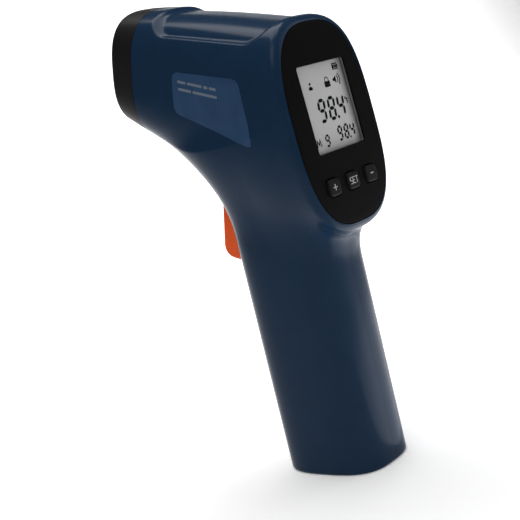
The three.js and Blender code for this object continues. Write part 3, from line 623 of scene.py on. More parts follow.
def bezel_face():
    edge = 0.35
    rings = [bezel_ring(BEZEL_BACK), bezel_ring(BEZEL_RIM - edge)]
    for step in range(1, 6):
        angle = step / 5 * math.pi / 2
        height = BEZEL_RIM - edge + edge * math.sin(angle)
        rings.append(bezel_ring(height, edge * (math.cos(angle) - 1)))
    inner_size = 1 - edge / BEZEL_HALF_WIDTH
    for step in range(1, 20):
        share = 1 - step / 20
        rings.append(bezel_ring(crowned_height(share), 0, inner_size * share))
    face = loft("bezel_face", rings, DISPLAY)
    window_edge = crowned_height(0.55)
    key_edge = crowned_height(0.62)
    tools = [
        flared_prism("window_hole", window_outline, window_edge),
        block("lcd_space", (-5, -13.8, -29.6), (LCD_FACE + 0.1, 13.8, 2.3), DISPLAY),
    ]
    for index in range(3):
        tools.append(flared_prism(
            "key_hole", lambda grow, i=index: key_outline(i, KEY_GAP + grow), key_edge,
        ))
    return cut(face, tools)


def window_pane():
    rings = []
    for height, grow in ((-0.95, -0.25), (-0.85, -0.15), (-0.15, -0.15), (-0.05, -0.25)):
        rings.append([(height, y, z) for y, z in window_outline(grow)])
    return loft("window_pane", rings, DISPLAY)


def frost_edges(pane):
    """Gives the window's sides their own frosted finish, and leaves both faces clear."""
    pane.data.materials.append(MATERIALS["frosted_edge"])
    outwards = (DISPLAY.to_3x3() @ Vector((1, 0, 0))).normalized()
    for polygon in pane.data.polygons:
        if abs(polygon.normal.dot(outwards)) < 0.3:
            polygon.material_index = 1


def key_cap(name, index):
    rings = []

    def ring(height, grow, size=1.0):
        centre_y, centre_z = (index - 1) * KEY_PITCH, KEY_Z
        rings.append([
            (height, centre_y + (y - centre_y) * size, centre_z + (z - centre_z) * size)
            for y, z in key_outline(index, grow)
        ])

    edge = 0.4
    ring(-3.7, 0.7)
    ring(-3.0, 0.7)
    ring(-3.0, 0.0)
    for step in range(6):
        angle = step / 5 * math.pi / 2
        ring(KEY_TOP - edge - 0.06 + edge * math.sin(angle), edge * (math.cos(angle) - 1))
    for size in (0.85, 0.65, 0.45, 0.25, 0.1):
        ring(KEY_TOP - 0.06 * size * size, -edge, size)
    return loft(name, rings, DISPLAY)


class Plates:
    """Thin flat marks on one face of the display frame, gathered into a single mesh."""

    def __init__(self, name, height, thickness):
        self.name = name
        self.low = height
        self.high = height + thickness
        self.vertices = []
        self.faces = []

    def polygon(self, outline):
        area = sum(a[0] * b[1] - b[0] * a[1] for a, b in zip(outline, outline[1:] + outline[:1]))
        if area < 0:
            outline = outline[::-1]
        self.faces += capped_faces(2, len(outline), len(self.vertices))
        self.vertices += [(x, y, z) for x in (self.low, self.high) for y, z in outline]

    def stroke(self, points, width):
        """A line of even width through the points, with mitred bends and square ends."""
        points = [Vector(p) for p in points]
        left, right = [], []
        for i, point in enumerate(points):
            before = (point - points[i - 1]).normalized() if i else None
            after = (points[i + 1] - point).normalized() if i + 1 < len(points) else None
            along = (before or after) + (after or before)
            along.normalize()
            normal = Vector((-along.y, along.x))
            onwards = after or before
            reach = width / 2 / max(normal.dot(Vector((-onwards.y, onwards.x))), 0.4)
            left.append(tuple(point + normal * reach))
            right.append(tuple(point - normal * reach))
        self.polygon(left + right[::-1])

    def disc(self, centre, radius):
        self.polygon(circle(centre, radius, 24))

    def arc(self, centre, radius, start, end, width):
        self.stroke(arc_points(centre, radius, math.radians(start), math.radians(end), 10), width)

    def made(self):
        return new_object(self.name, self.vertices, self.faces, DISPLAY)


SEGMENTS = {"9": "abcdfg", "8": "abcdefg", "4": "bcfg"}


def draw_digit(plates, digit, left, top, width, height, stroke):
    """A seven-segment digit from its top left corner, leaning as display digits do."""
    lean = 0.12
    half = height / 2
    gap = stroke * 0.16

    def at(y, z):
        return (left + y + lean * (z - top), z)

    def bar(y, z, length, flat):
        tip = stroke / 2
        inset = length - tip
        if flat:
            shape = [(0, 0), (tip, tip), (inset, tip), (length, 0), (inset, -tip), (tip, -tip)]
        else:
            shape = [(0, 0), (tip, -tip), (tip, -inset), (0, -length), (-tip, -inset), (-tip, -tip)]
        plates.polygon([at(y + dy, z + dz) for dy, dz in shape])

    inner = stroke / 2
    low, middle, high = top - height + inner, top - half, top - inner
    span = width - 2 * inner - 2 * gap
    drop = half - inner - 2 * gap
    places = {
        "a": (inner + gap, high, span, True),
        "g": (inner + gap, middle, span, True),
        "d": (inner + gap, low, span, True),
        "f": (inner, high - gap, drop, False),
        "b": (width - inner, high - gap, drop, False),
        "e": (inner, middle - gap, drop, False),
        "c": (width - inner, middle - gap, drop, False),
    }
    for segment in SEGMENTS[digit]:
        bar(*places[segment])


def lcd_marks():
    """What the display shows: a reading, a stored reading and its number, and small symbols."""
    marks = Plates("lcd_marks", LCD_FACE + 0.005, 0.03)
    for digit, left in (("9", -4.5), ("8", 0.3), ("4", 4.95)):
        draw_digit(marks, digit, left, -10.1, 3.7, 7.0, 1.02)
    marks.disc((3.95, -16.6), 0.5)
    draw_digit(marks, "9", -5.2, -20.4, 2.2, 3.6, 0.62)
    for digit, left in (("9", 1.5), ("8", 4.7), ("4", 7.75)):
        draw_digit(marks, digit, left, -19.0, 2.45, 4.5, 0.74)
    marks.disc((7.15, -23.2), 0.36)

    letter_m = [(-9.6, -23.3), (-9.35, -21.3), (-8.65, -22.7), (-7.95, -21.3), (-7.7, -23.3)]
    marks.stroke(letter_m, 0.4)

    marks.arc((9.3, -11.9), 0.34, 0, 360, 0.26)
    marks.stroke([(9.75, -13.6), (9.9, -12.1), (10.6, -12.1)], 0.36)
    marks.stroke([(9.87, -12.85), (10.4, -12.85)], 0.3)

    marks.stroke([(7.1, -1.3), (9.4, -1.3), (9.4, -2.9), (7.1, -2.9), (7.1, -1.15)], 0.34)
    for y in (7.55, 8.2, 8.85):
        marks.stroke([(y, -1.6), (y, -2.6)], 0.5)
    marks.stroke([(9.5, -2.1), (9.85, -2.1)], 0.7)

    marks.polygon([(1.35, -5.75), (4.05, -5.75), (4.05, -7.45), (1.35, -7.45)])
    marks.arc((2.7, -5.4), 0.85, 180, 0, 0.3)
    marks.stroke([(1.85, -5.35), (1.85, -5.8)], 0.3)
    marks.stroke([(3.55, -5.35), (3.55, -5.8)], 0.3)

    speaker = [(5.7, -5.45), (6.25, -5.45), (7.3, -4.75), (7.3, -6.95), (6.25, -6.25), (5.7, -6.25)]
    marks.polygon(speaker)
    for radius in (1.35, 2.25):
        marks.arc((6.9, -5.85), radius, -46, 46, 0.4)

    marks.disc((-5.6, -5.35), 0.42)
    body = [(-6.5, -7.15), (-4.7, -7.15)]
    body += [(-5.6 + 0.9 * y, -6.7 + 0.65 * z) for y, z in arc_points((0, 0), 1, 0, math.pi, 8)]
    marks.polygon(body)
    return marks.made()


def key_legend(name, index):
    marks = Plates(name, KEY_TOP - 0.02, 0.06)
    y = (index - 1) * KEY_PITCH
    if index == 0:
        marks.stroke([(y - 0.9, KEY_Z), (y + 0.9, KEY_Z)], 0.28)
        marks.stroke([(y, KEY_Z - 0.9), (y, KEY_Z - 0.15)], 0.28)
        marks.stroke([(y, KEY_Z + 0.15), (y, KEY_Z + 0.9)], 0.28)
    elif index == 2:
        marks.stroke([(y - 0.75, KEY_Z), (y + 0.75, KEY_Z)], 0.3)
    else:
        width, half = 1.05, 0.9
        s, e, t = -1.9, -0.5, 0.75
        letter_s = [(width, half), (0.25, half), (0, 0.65), (0, 0.25), (0.25, 0), (0.8, 0)]
        letter_s += [(width, -0.25), (width, -0.65), (0.8, -half), (0, -half)]
        letter_e = [(width, half), (0, half), (0, -half), (width, -half)]
        marks.stroke([(s + dy, KEY_Z + dz) for dy, dz in letter_s], 0.2)
        marks.stroke([(e + dy, KEY_Z + dz) for dy, dz in letter_e], 0.2)
        marks.stroke([(e + 0.15, KEY_Z), (e + 0.85, KEY_Z)], 0.2)
        marks.stroke([(t, KEY_Z + half), (t + 1.25, KEY_Z + half)], 0.2)
        marks.stroke([(t + 0.62, KEY_Z + half - 0.14), (t + 0.62, KEY_Z - half - 0.1)], 0.2)
    return marks.made()


# ------------------------------------------------------------------ trigger, door, sensor, screws

def trigger_blade():
    low_x, low_z, high_x, high_z = -25.9, 74.2, -21.2, 91.2
    pin = (TRIGGER_X, TRIGGER_Z)
    hub_top = (TRIGGER_X, TRIGGER_Z + TRIGGER_HUB)
    rear = math.asin((TRIGGER_BACK - TRIGGER_X) / TRIGGER_SWEEP) - math.pi / 2
    front = math.asin((low_x + 2 - TRIGGER_X) / TRIGGER_SWEEP) - math.pi / 2
    outline = arc_points(pin, TRIGGER_SWEEP, rear, front, 24)
    outline += bend_points(outline[-1], (low_x - 0.3, low_z - 2.8), (low_x, low_z), 10)[1:]
    for i in range(1, 13):
        outline.append((mix(low_x, high_x, i / 12), mix(low_z, high_z, i / 12)))
    outline += bend_points((high_x, high_z), (high_x + 0.8, hub_top[1]), hub_top, 10)[1:]
    outline += arc_points(pin, TRIGGER_HUB, math.pi / 2, -math.pi / 4, 12)[1:]
    outline.append((TRIGGER_BACK, 85.0))
    blade = prism_y("trigger_blade", outline, -TRIGGER_HALF_WIDTH, TRIGGER_HALF_WIDTH)
    edges = blade.modifiers.new("edges", "BEVEL")
    edges.width = 1.1 * MM
    edges.segments = 5
    edges.limit_method = "ANGLE"
    edges.angle_limit = math.radians(50)
    edges.use_clamp_overlap = True
    cut(blade, [])
    bore = rod("bore", 1.08, -10, 10, 1, pin)
    pocket = rod("pocket", 2.9, TRIGGER_BACK - 2.6, TRIGGER_BACK + 1, 0, (0, SPRING_Z))
    return cut(blade, [bore, pocket])


def finish_door(door):
    """The battery door's hinge hook, its clip and the grooves that a thumb pulls it by."""
    low, high = DOOR_LOW, DOOR_HIGH
    added = [
        block("hook", (-14.7, -5, low - 2.4), (-13.6, 5, low + 6)),
        block("hook_root", (-16.4, -5, low + 0.4), (-13.6, 5, low + 6)),
        block("clip", (-16.4, -3.5, high - 4), (-13.8, 3.5, high - 0.5)),
    ]
    cut(door, added, "UNION")
    grooves = [rod("groove", 0.6, -4.6, 4.6, 1, (-18.3, high - 6 - i * 2.2)) for i in range(4)]
    return cut(door, grooves)


SENSOR = HEAD @ Matrix.Translation((SENSOR_MOUTH_X, 0, NOSE_Z))


def sensor_pieces():
    mouth, throat, socket = SENSOR_MOUTH_RADIUS, SENSOR_THROAT_RADIUS, 5.0
    lip, outside, inside = 0.35, mouth + 0.75, mouth - 0.9
    horn = [(lip, outside), (0, outside - lip), (0, inside + lip + 0.1), (lip, inside)]
    for i in range(1, 9):
        t = i / 8
        horn.append((mix(lip, 10.5, t), mix(inside, throat, t ** 0.92)))
    horn += [(12, throat), (12.1, socket), (22, socket), (22, socket + 1.5), (12.5, socket + 1.5)]
    horn += [(2.5, outside)]
    can = [
        (13.0, AXIS), (13.0, 1.8), (12.62, 1.86), (12.5, 2.0), (12.5, 3.9), (12.7, 4.1),
        (16.4, 4.1), (16.4, 4.7), (17, 4.7), (17, AXIS),
    ]
    sleeve = [(12.5, 4.2), (16.2, 4.2), (16.2, 4.85), (12.6, 4.85), (12.5, 4.75)]
    pane = [(12.62, AXIS), (12.6, 0.05), (12.6, 1.6), (12.65, 1.65), (12.9, 1.65), (12.9, AXIS)]
    return [
        (turned("sensor_horn", horn, SENSOR), "black_plastic", "sensor_tube"),
        (turned("sensor_can", can, SENSOR), "steel", "thermopile_can"),
        (turned("sensor_ring", sleeve, SENSOR), "brass", "sensor_sleeve"),
        (turned("sensor_pane", pane, SENSOR), "filter_dark", "sensor_filter"),
    ]


def casing_screw(name, place):
    """A cross-recessed pan-head screw, its head in the right half of the casing."""
    frame_here = Matrix.Translation(place) @ Matrix.Rotation(math.pi / 2, 4, "Z")
    top = SCREW_SEAT + 1.7
    seat = SCREW_SEAT + 0.1
    profile = [
        (-9, AXIS), (-9, 0.5), (-8.2, 1.0), (seat, 1.1), (seat, 2.0),
        (top - 0.7, SCREW_HEAD), (top - 0.25, 1.9), (top - 0.05, 1.3), (top, 0.6), (top, AXIS),
    ]
    screw = turned(name, profile, frame_here, 48)
    recess = [
        block("recess", (top - 0.9, -1.15, -0.26), (top + 1, 1.15, 0.26), frame_here),
        block("recess", (top - 0.9, -0.26, -1.15), (top + 1, 0.26, 1.15), frame_here),
    ]
    return cut(screw, recess)


def cell(name, node, nub_up):
    """An AAA cell in its printed sleeve, with bare ends."""
    low, high = (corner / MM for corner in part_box(node))
    centre = (low + high) / 2
    height = high.z - low.z
    foot, turn = (low.z, -math.pi / 2) if nub_up else (high.z, math.pi / 2)
    place = Matrix.Translation((centre.x, centre.y, foot)) @ Matrix.Rotation(turn, 4, "Y")
    radius = (high.x - low.x) / 2
    end = height - 1.2
    profile = [
        (0.35, AXIS), (0.3, radius - 1.4), (0.0, radius - 0.9), (0.0, radius - 0.45),
        (0.4, radius), (end - 0.5, radius), (end, radius - 0.5), (end - 0.25, radius - 0.95),
        (end - 0.25, 2.2), (end, 1.9), (height - 0.2, 1.9), (height, 1.7), (height, AXIS),
    ]
    return turned(name, profile, place)


def return_spring():
    """The coil between the casing and the trigger's back, lying along X."""
    low, high = (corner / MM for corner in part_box("trigger_spring"))
    coil_radius = (high.y - low.y) / 2 - SPRING_WIRE
    middle = (low.z + high.z) / 2
    steps = SPRING_TURNS * 24
    rings = []
    for step in range(steps + 1):
        share = step / steps
        angle = share * SPRING_TURNS * math.tau
        x = mix(high.x - SPRING_WIRE, low.x + SPRING_WIRE, share)
        ring = []
        for reach, ahead in circle((coil_radius, x), SPRING_WIRE, 10):
            ring.append((ahead, reach * math.cos(angle), middle + reach * math.sin(angle)))
        rings.append(ring)
    return loft("return_spring", rings)


def flank_y(x, z):
    """Y of the casing's left side at points of the head frame."""
    y = np.full(len(x), -20.0)
    for _ in range(6):
        points = np.stack([x, y, z, np.ones(len(x))], axis=1) @ np.array(HEAD).T
        value = casing_distance(points[:, :3])
        ahead = points[:, :3] + np.array((0, 0.02, 0))
        y = y - value / ((casing_distance(ahead) - value) / 0.02)
    return y


def label_print():
    """Two rows of plain dashes on the label, each lying on its curve."""
    vertices, faces = [], []
    half, raised, sunk, gap, slope = 0.4, 0.03, 0.01, 0.7, -0.06
    rows = (((-38.4, -5.8), (3.4, 6.0, 1.6, 2.6)), ((-38.2, -8.0), (5.4, 9.8)))
    for (x, z), lengths in rows:
        for length in lengths:
            along = np.linspace(0, length, 7)
            edges = []
            for rise, out in ((-half, 0), (half, 0), (half, raised), (-half, raised)):
                zs = z + along * slope + rise
                edges.append(np.stack([x + along, flank_y(x + along, zs) - out + sunk, zs], axis=1))
            faces += capped_faces(len(along), len(edges), len(vertices))
            vertices += np.stack(edges, axis=1).reshape(-1, 3).tolist()
            x += length + gap
            z += (length + gap) * slope
    return face_outwards(new_object("label_print", vertices, faces, HEAD))


# ------------------------------------------------------------------ materials

MATERIALS = {}


class Nodes:
    """A material's node tree, with short ways to add and join nodes."""

    def __init__(self, name):
        self.material = MATERIALS[name] = bpy.data.materials.new(name)
        self.material.use_nodes = True
        self.tree = self.material.node_tree
        self.tree.nodes.clear()
        self.output = self.tree.nodes.new("ShaderNodeOutputMaterial")
        self.shader = self.tree.nodes.new("ShaderNodeBsdfPrincipled")
        self.tree.links.new(self.shader.outputs["BSDF"], self.output.inputs["Surface"])
        self.place = self.tree.nodes.new("ShaderNodeTexCoord").outputs["Object"]

    def add(self, kind, **values):
        node = self.tree.nodes.new(kind)
        for key, value in values.items():
            name = key.replace("_", " ")
            if name in node.inputs:
                node.inputs[name].default_value = value
            else:
                setattr(node, key, value)
        return node

    def join(self, source, node, socket):
        self.tree.links.new(source, node.inputs[socket])

    def noise(self, size, detail=3.0, stretch=(1, 1, 1)):
        """Noise whose features are about the given size, in millimetres."""
        place = self.place
        if stretch != (1, 1, 1):
            mapping = self.add("ShaderNodeMapping", Scale=stretch)
            self.join(place, mapping, "Vector")
            place = mapping.outputs["Vector"]
        node = self.add("ShaderNodeTexNoise", Scale=1 / (size * MM), Detail=detail)
        self.join(place, node, "Vector")
        return node.outputs["Fac"]

    def coordinate(self, axis):
        split = self.add("ShaderNodeSeparateXYZ")
        self.join(self.place, split, "Vector")
        return split.outputs[axis]

    def reach(self, direction):
        """How far along a direction each point is."""
        node = self.add("ShaderNodeVectorMath", operation="DOT_PRODUCT")
        self.join(self.place, node, 0)
        node.inputs[1].default_value = direction
        return node.outputs["Value"]

    def between(self, factor, low, high, start=0.3, end=0.7):
        """A number that goes from low to high as the factor goes from start to end."""
        node = self.add("ShaderNodeMapRange", From_Min=start, From_Max=end, To_Min=low, To_Max=high)
        self.join(factor, node, "Value")
        return node.outputs["Result"]

    def blend(self, factor, first, second):
        """A colour between two, by a factor from 0 to 1."""
        node = self.tree.nodes.new("ShaderNodeMix")
        node.data_type = "RGBA"
        sockets = [n for n in node.inputs if n.type == "RGBA"]
        self.join(factor, node, "Factor")
        for socket, value in zip(sockets, (first, second)):
            if isinstance(value, tuple):
                socket.default_value = (*value, 1)
            else:
                self.tree.links.new(value, socket)
        return [n for n in node.outputs if n.type == "RGBA"][0]

    def bumps(self, *layers):
        """Bump layers of (height, depth in millimetres), each on top of the one before."""
        normal = None
        for height, depth in layers:
            node = self.add("ShaderNodeBump", Distance=depth * MM, Strength=1.0)
            self.join(height, node, "Height")
            if normal:
                self.join(normal, node, "Normal")
            normal = node.outputs["Normal"]
        self.join(normal, self.shader, "Normal")

    def finish(self, colour, roughness, *layers, **values):
        """Joins up the shader: its colour and roughness, its bump layers and its plain settings."""
        self.join(colour, self.shader, "Base Color")
        self.join(roughness, self.shader, "Roughness")
        if layers:
            self.bumps(*layers)
        for key, value in values.items():
            self.shader.inputs[key.replace("_", " ")].default_value = value


def scaled(colour, factor):
    return tuple(c * factor for c in colour)


def moulded_plastic(name, colour, roughness, grain, depth, specular=0.4, variation=0.06):
    """Moulded plastic: a fine grain, slow waves of gloss and a slightly uneven colour."""
    nodes = Nodes(name)
    slow = nodes.noise(9, 2)
    fine = nodes.noise(grain, 4)
    mottle = nodes.blend(
        nodes.between(slow, 0, 1), scaled(colour, 1 - variation), scaled(colour, 1 + variation),
    )
    speckled = nodes.blend(nodes.between(fine, 0, 0.3), mottle, scaled(colour, 1 + 2 * variation))
    gloss = nodes.add("ShaderNodeMath", operation="ADD")
    nodes.join(nodes.between(slow, -0.015, 0.015), gloss, 0)
    nodes.join(nodes.between(fine, roughness - 0.03, roughness + 0.03), gloss, 1)
    nodes.finish(
        speckled, gloss.outputs[0], (slow, depth * 2), (fine, depth),
        Specular_IOR_Level=specular, IOR=1.5,
    )


def plated_metal(name, colour, roughness, stretch=(1, 1, 1)):
    """Metal with fine drawn marks, small stains and uneven gloss."""
    nodes = Nodes(name)
    marks = nodes.noise(0.35, 5, stretch)
    stain = nodes.noise(2.2, 4)
    tint = nodes.blend(nodes.between(stain, 0, 1), scaled(colour, 0.78), colour)
    rough = nodes.between(marks, roughness - 0.1, roughness + 0.12)
    nodes.finish(tint, rough, (marks, 0.012), Metallic=1.0)


def printed_film(name, colour):
    """A printed and laminated label: a faint weave under a soft sheen."""
    nodes = Nodes(name)
    weave = nodes.noise(0.3, 3, (1, 1, 0.25))
    slow = nodes.noise(7, 2)
    ink = nodes.blend(nodes.between(slow, 0, 1), scaled(colour, 0.88), scaled(colour, 1.1))
    speckled = nodes.blend(nodes.between(weave, 0, 0.25), ink, scaled(colour, 1.5))
    rough = nodes.between(weave, 0.36, 0.46)
    nodes.finish(speckled, rough, (slow, 0.01), (weave, 0.004), Specular_IOR_Level=0.12)


def display_cell(name, colour):
    """A grey reflective display: a fine reflector grain, and painted shade that darkens it near its
    right edge, where the window's edge would cast its shadow.
    """
    nodes = Nodes(name)
    grain = nodes.noise(0.12, 2)
    cloud = nodes.noise(14, 1)
    paper = nodes.blend(nodes.between(cloud, 0, 1), scaled(colour, 0.93), scaled(colour, 1.05))
    grained = nodes.blend(nodes.between(grain, 0, 0.35), paper, scaled(colour, 1.22))
    half = WINDOW_WIDTH / 2 * MM
    # Painted shade: over the outer part of the window's half width, the colour darkens to 0.55 of
    # itself, standing in for the window edge's shadow.
    edge = nodes.between(nodes.coordinate("Y"), 0, 1, half * 0.72, half)
    painted_edge_shade = nodes.blend(edge, grained, scaled(colour, 0.55))
    rough = nodes.between(grain, 0.34, 0.48)
    nodes.finish(painted_edge_shade, rough, (grain, 0.003), Specular_IOR_Level=0.3)


def clear_sheet(name):
    """A clear acrylic window with faint smears."""
    nodes = Nodes(name)
    smear = nodes.noise(3.5, 4, (1, 1, 2.5))
    tint = nodes.blend(nodes.between(smear, 0, 1), (0.015, 0.016, 0.016), (0.025, 0.026, 0.026))
    rough = nodes.between(smear, 0.03, 0.09)
    nodes.finish(tint, rough, (smear, 0.002), Alpha=0.08, IOR=1.49)


def circuit_board(name, colour):
    """Solder mask over copper: raised tracks seen as lighter bands."""
    nodes = Nodes(name)
    tracks = nodes.add(
        "ShaderNodeTexWave", wave_type="BANDS", bands_direction="Z", Scale=260, Distortion=3,
    )
    nodes.join(nodes.place, tracks, "Vector")
    fine = nodes.noise(0.3, 3)
    copper = nodes.between(tracks.outputs["Fac"], 0, 1, 0.55, 0.65)
    mask = nodes.blend(copper, colour, scaled(colour, 1.9))
    speckled = nodes.blend(nodes.between(fine, 0, 0.3), mask, scaled(colour, 1.4))
    nodes.finish(speckled, nodes.between(fine, 0.3, 0.45), (copper, 0.03), (fine, 0.004))


def cell_wrap(name, colour, band):
    """A cell's shrink sleeve: a coloured band over a darker base, under a clear gloss."""
    nodes = Nodes(name)
    low, high = (corner.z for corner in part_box("battery_1"))
    upper = nodes.between(nodes.coordinate("Z"), 0, 1, mix(low, high, 0.68), mix(low, high, 0.685))
    fine = nodes.noise(0.4, 3)
    colours = nodes.blend(upper, colour, band)
    worn = nodes.blend(nodes.between(fine, 0, 0.2), colours, scaled(colour, 1.6))
    rough = nodes.between(fine, 0.2, 0.32)
    nodes.finish(worn, rough, (fine, 0.003), Coat_Weight=0.4, Coat_Roughness=0.08)


# Name: colour, roughness, grain and its depth in mm, and then the specular level and variation.
PLASTICS = {
    "casing_navy": ((0.0088, 0.0255, 0.056), 0.21, 0.25, 0.001, 0.07),
    "label_ink": ((0.12, 0.15, 0.19), 0.5, 0.2, 0.001),
    "black_plastic": ((0.009, 0.009, 0.0092), 0.42, 0.25, 0.0015, 0.12),
    "display_black": ((0.0035, 0.0035, 0.0036), 0.5, 0.2, 0.001, 0.03),
    "key_black": ((0.008, 0.008, 0.0085), 0.46, 0.2, 0.002, 0.08),
    "trigger_orange": ((0.8, 0.095, 0.012), 0.3, 0.25, 0.001, 0.14, 0.04),
    "frosted_edge": ((0.16, 0.165, 0.16), 0.6, 0.3, 0.004, 0.1),
    "lcd_ink": ((0.004, 0.004, 0.0045), 0.5, 0.15, 0.001, 0.05),
    "legend_white": ((0.44, 0.45, 0.44), 0.5, 0.2, 0.001),
    "white_plastic": ((0.8, 0.81, 0.8), 0.45, 0.3, 0.004, 0.4, 0.04),
    "grey_rubber": ((0.05, 0.05, 0.055), 0.75, 0.4, 0.02, 0.25),
    "chip_black": ((0.006, 0.006, 0.007), 0.5, 0.3, 0.01, 0.35),
    "tray_grey": ((0.1, 0.11, 0.12), 0.5, 0.3, 0.006, 0.35),
    "ribbon_grey": ((0.2, 0.2, 0.21), 0.4, 0.3, 0.004),
    "filter_dark": ((0.05, 0.05, 0.06), 0.12, 0.3, 0.0005, 0.6),
    "lead_red": ((0.38, 0.012, 0.01), 0.4, 0.2, 0.004),
    "lead_black": ((0.008, 0.008, 0.008), 0.4, 0.2, 0.004),
}


def make_materials():
    for name, values in PLASTICS.items():
        moulded_plastic(name, *values)
    printed_film("label_blue", (0.021, 0.052, 0.115))
    clear_sheet("clear_window")
    display_cell("lcd_glass", (0.66, 0.665, 0.66))
    circuit_board("board_green", (0.012, 0.1, 0.04))
    plated_metal("steel", (0.55, 0.56, 0.57), 0.3)
    plated_metal("spring_steel", (0.45, 0.46, 0.47), 0.36, (1, 1, 0.3))
    plated_metal("brass", (0.62, 0.45, 0.18), 0.3, (0.3, 1, 1))
    cell_wrap("cell_sleeve", (0.06, 0.16, 0.11), (0.5, 0.36, 0.13))


# The CAD nodes that are shown as they are, under the slot that each is painted with.
SLOT_NODES = {
    "lcd_glass": "lcd_panel",
    "white_plastic": (
        "backlight_plate plus_switch_stem set_switch_stem minus_switch_stem trigger_switch_stem"
    ),
    "grey_rubber": "contact_strip",
    "steel": (
        "plus_switch_body set_switch_body minus_switch_body board_screw_1 board_screw_2 "
        "board_screw_3 trigger_pin link_plate terminal_plate_1 terminal_plate_2"
    ),
    "board_green": "main_board sensor_board trigger_board",
    "chip_black": "controller_chip buzzer trigger_switch_body",
    "ribbon_grey": "sensor_ribbon",
    "tray_grey": "battery_tray",
    "spring_steel": "contact_spring_1 contact_spring_2",
    "lead_red": "battery_lead_red",
    "lead_black": "battery_lead_black",
}


# ------------------------------------------------------------------ assembly

def finish_piece(made, body, slot, nodes=(), angle=30, paint=None):
    """Shading, material, body and slot of a new piece, and the CAD nodes that it stands for."""
    made.data.shade_smooth()
    made.data.set_sharp_from_angle(angle=math.radians(angle))
    made.data.materials.clear()
    made.data.materials.append(MATERIALS[paint or slot])
    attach(made, body)
    if nodes:
        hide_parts(*nodes)


def paint_node(name, slot):
    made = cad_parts[name]
    made.data.materials.clear()
    made.data.materials.append(MATERIALS[slot])
    for polygon in made.data.polygons:
        polygon.material_index = 0


def assemble():
    left, right, cap, label, door = casing_pieces()
    finish_piece(left, "housing", "casing_navy", ["left_shell"])
    finish_piece(right, "housing", "casing_navy", ["right_shell"])
    finish_piece(cap, "housing", "black_plastic", ["nose_cap"])
    finish_piece(label, "housing", "label_blue", ["side_label"])
    finish_piece(label_print(), "housing", "label_blue", paint="label_ink")
    finish_piece(finish_door(door), "battery_door", "casing_navy", ["battery_door"])
    finish_piece(bezel_face(), "housing", "black_plastic", ["display_bezel"], paint="display_black")
    pane = window_pane()
    finish_piece(pane, "housing", "clear_window", ["display_window"])
    frost_edges(pane)
    finish_piece(lcd_marks(), "housing", "lcd_glass", paint="lcd_ink")
    for index, name in enumerate(("plus", "set", "minus")):
        body = f"{name}_key"
        finish_piece(key_cap(f"{name}_cap", index), body, "key_black", [f"{name}_key"])
        finish_piece(key_legend(f"{name}_legend", index), body, "key_black", paint="legend_white")
    finish_piece(trigger_blade(), "trigger", "trigger_orange", ["trigger"])
    spring = return_spring()
    finish_piece(spring, "housing", "spring_steel", ["trigger_spring"], angle=60)
    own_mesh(spring)
    for made, slot, node in sensor_pieces():
        finish_piece(made, "housing", slot, [node])
    for number, place in enumerate(screw_places(), 1):
        screw = casing_screw(f"shell_screw_{number}", place)
        finish_piece(screw, "housing", "steel", [f"casing_screw_{number}"])
    for number in (1, 2):
        node = f"battery_{number}"
        finish_piece(cell(f"cell_{number}", node, number == 1), "housing", "cell_sleeve", [node])
    for slot, names in SLOT_NODES.items():
        for name in names.split():
            paint_node(name, slot)


# ------------------------------------------------------------------ studio

VIEW_RIGHT = Vector((0.7502, 0.6175, -0.2365))
VIEW_UP = Vector((0.0734, 0.2778, 0.9579))
VIEW_AHEAD = Vector((-0.6572, 0.7359, -0.1630))
CAMERA_PLACE = Vector((0.21393, -0.25851, 0.12441))
LENS, SENSOR_WIDTH = 76.15, 36.0
SUBJECT = Vector((0, 0, 0.09))


def place_camera():
    data = bpy.data.cameras.new("camera")
    data.lens = LENS
    data.sensor_width = SENSOR_WIDTH
    camera = bpy.data.objects.new("camera", data)
    bpy.context.scene.collection.objects.link(camera)
    axes = Matrix((VIEW_RIGHT, VIEW_UP, -VIEW_AHEAD)).transposed()
    camera.matrix_world = Matrix.Translation(CAMERA_PLACE) @ axes.to_4x4()
    bpy.context.scene.camera = camera


def area_light(name, width, height, radiance, place):
    data = bpy.data.lights.new(name, "AREA")
    data.shape = "RECTANGLE"
    data.size = width
    data.size_y = height
    data.energy = radiance * math.pi * width * height
    light = bpy.data.objects.new(name, data)
    bpy.context.scene.collection.objects.link(light)
    light.matrix_world = place
    light.visible_camera = False


def softbox(name, azimuth, elevation, distance, width, height, radiance):
    """A rectangular light seen from the subject in the given direction, facing it."""
    a, e = math.radians(azimuth), math.radians(elevation)
    towards = Vector((math.cos(e) * math.cos(a), math.cos(e) * math.sin(a), math.sin(e)))
    facing = towards.to_track_quat("Z", "Y").to_matrix().to_4x4()
    place = Matrix.Translation(SUBJECT + towards * distance) @ facing
    area_light(name, width, height, radiance, place)


def low_panel(name, azimuth, along, aside, radiance):
    """A light lying on the floor and facing up: a rectangle along a direction from the subject."""
    turn = Matrix.Rotation(math.radians(azimuth), 4, "Z")
    centre = Matrix.Translation((sum(along) / 2, sum(aside) / 2, 0.003))
    place = turn @ centre @ Matrix.Rotation(math.pi, 4, "X")
    area_light(name, along[1] - along[0], aside[1] - aside[0], radiance, place)


# The floor, in metres: its front edge, where it bends up, the bend's radius and the top.
FLOOR_FRONT, FLOOR_BEND, FLOOR_RADIUS, FLOOR_TOP, FLOOR_HALF_WIDTH = -4.0, 0.9, 0.6, 0.75, 4.0

# The backdrop's own glow: its strength near and far, and where it changes and fades, in metres.
GLOW_NEAR, GLOW_FAR = 0.1, 0.95
GLOW_REACH, GLOW_TOP, GLOW_SIDE = (-0.06, 0.3), (0.25, 0.45), (0.28, 0.5)


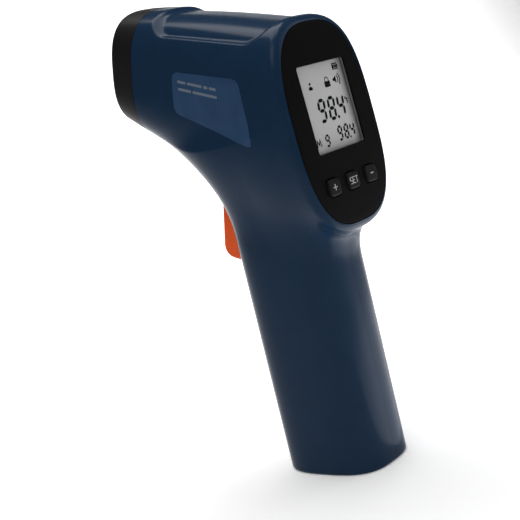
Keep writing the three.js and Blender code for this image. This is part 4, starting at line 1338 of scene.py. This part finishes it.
def studio_floor():
    """A pale floor that bends up into a backdrop behind the subject, brighter towards its rear."""
    behind = Vector((VIEW_AHEAD.x, VIEW_AHEAD.y, 0)).normalized()
    across = Vector((behind.y, -behind.x, 0))
    profile = [(FLOOR_FRONT, 0.0), (-0.6, 0.0), (-0.2, 0.0), (0.2, 0.0)]
    profile += arc_points((FLOOR_BEND, FLOOR_RADIUS), FLOOR_RADIUS, -math.pi / 2, 0, 16)
    profile.append((FLOOR_BEND + FLOOR_RADIUS, FLOOR_TOP))
    vertices, faces = [], []
    for along, up in profile:
        for side in (-FLOOR_HALF_WIDTH, FLOOR_HALF_WIDTH):
            vertices.append(tuple((behind * along + across * side + Vector((0, 0, up))) / MM))
    for i in range(len(profile) - 1):
        faces.append((2 * i, 2 * i + 1, 2 * i + 3, 2 * i + 2))
    floor = new_object("floor", vertices, faces)
    floor.data.shade_smooth()
    nodes = Nodes("studio_paper")
    grain = nodes.noise(1.2, 3)
    paper = nodes.blend(nodes.between(grain, 0, 1), (0.92, 0.92, 0.92), (0.95, 0.95, 0.95))
    outwards = nodes.add("ShaderNodeMath", operation="ABSOLUTE")
    nodes.join(nodes.reach(across), outwards, 0)
    glow = nodes.between(nodes.reach(behind), GLOW_NEAR, GLOW_FAR, *GLOW_REACH)
    for fade in (
        nodes.between(nodes.coordinate("Z"), 1, 0, *GLOW_TOP),
        nodes.between(outwards.outputs[0], 1, 0, *GLOW_SIDE),
    ):
        product = nodes.add("ShaderNodeMath", operation="MULTIPLY")
        nodes.join(glow, product, 0)
        nodes.join(fade, product, 1)
        glow = product.outputs[0]
    rough = nodes.between(grain, 0.8, 0.9)
    nodes.finish(paper, rough, Specular_IOR_Level=0.1, Emission_Color=(1, 1, 1, 1))
    nodes.join(glow, nodes.shader, "Emission Strength")
    floor.data.materials.append(nodes.material)


def studio_light():
    world = bpy.data.worlds.new("studio")
    world.use_nodes = True
    background = world.node_tree.nodes["Background"]
    background.inputs["Color"].default_value = (1, 1, 1, 1)
    background.inputs["Strength"].default_value = 0.06
    bpy.context.scene.world = world
    bpy.context.scene.view_settings.view_transform = "Standard"
    softbox(
        "right_box", azimuth=45, elevation=30, distance=1.0, width=0.9, height=0.5, radiance=1.4,
    )
    softbox(
        "front_box", azimuth=-70, elevation=50, distance=1.2, width=0.8, height=0.6, radiance=3.0,
    )
    softbox(
        "rear_box", azimuth=138, elevation=80, distance=1.1, width=0.8, height=0.8, radiance=5.8,
    )
    low_panel("low_panel", azimuth=2, along=(0.02, 0.13), aside=(0.004, 0.2), radiance=2.0)


make_materials()
assemble()
studio_floor()
studio_light()
place_camera()
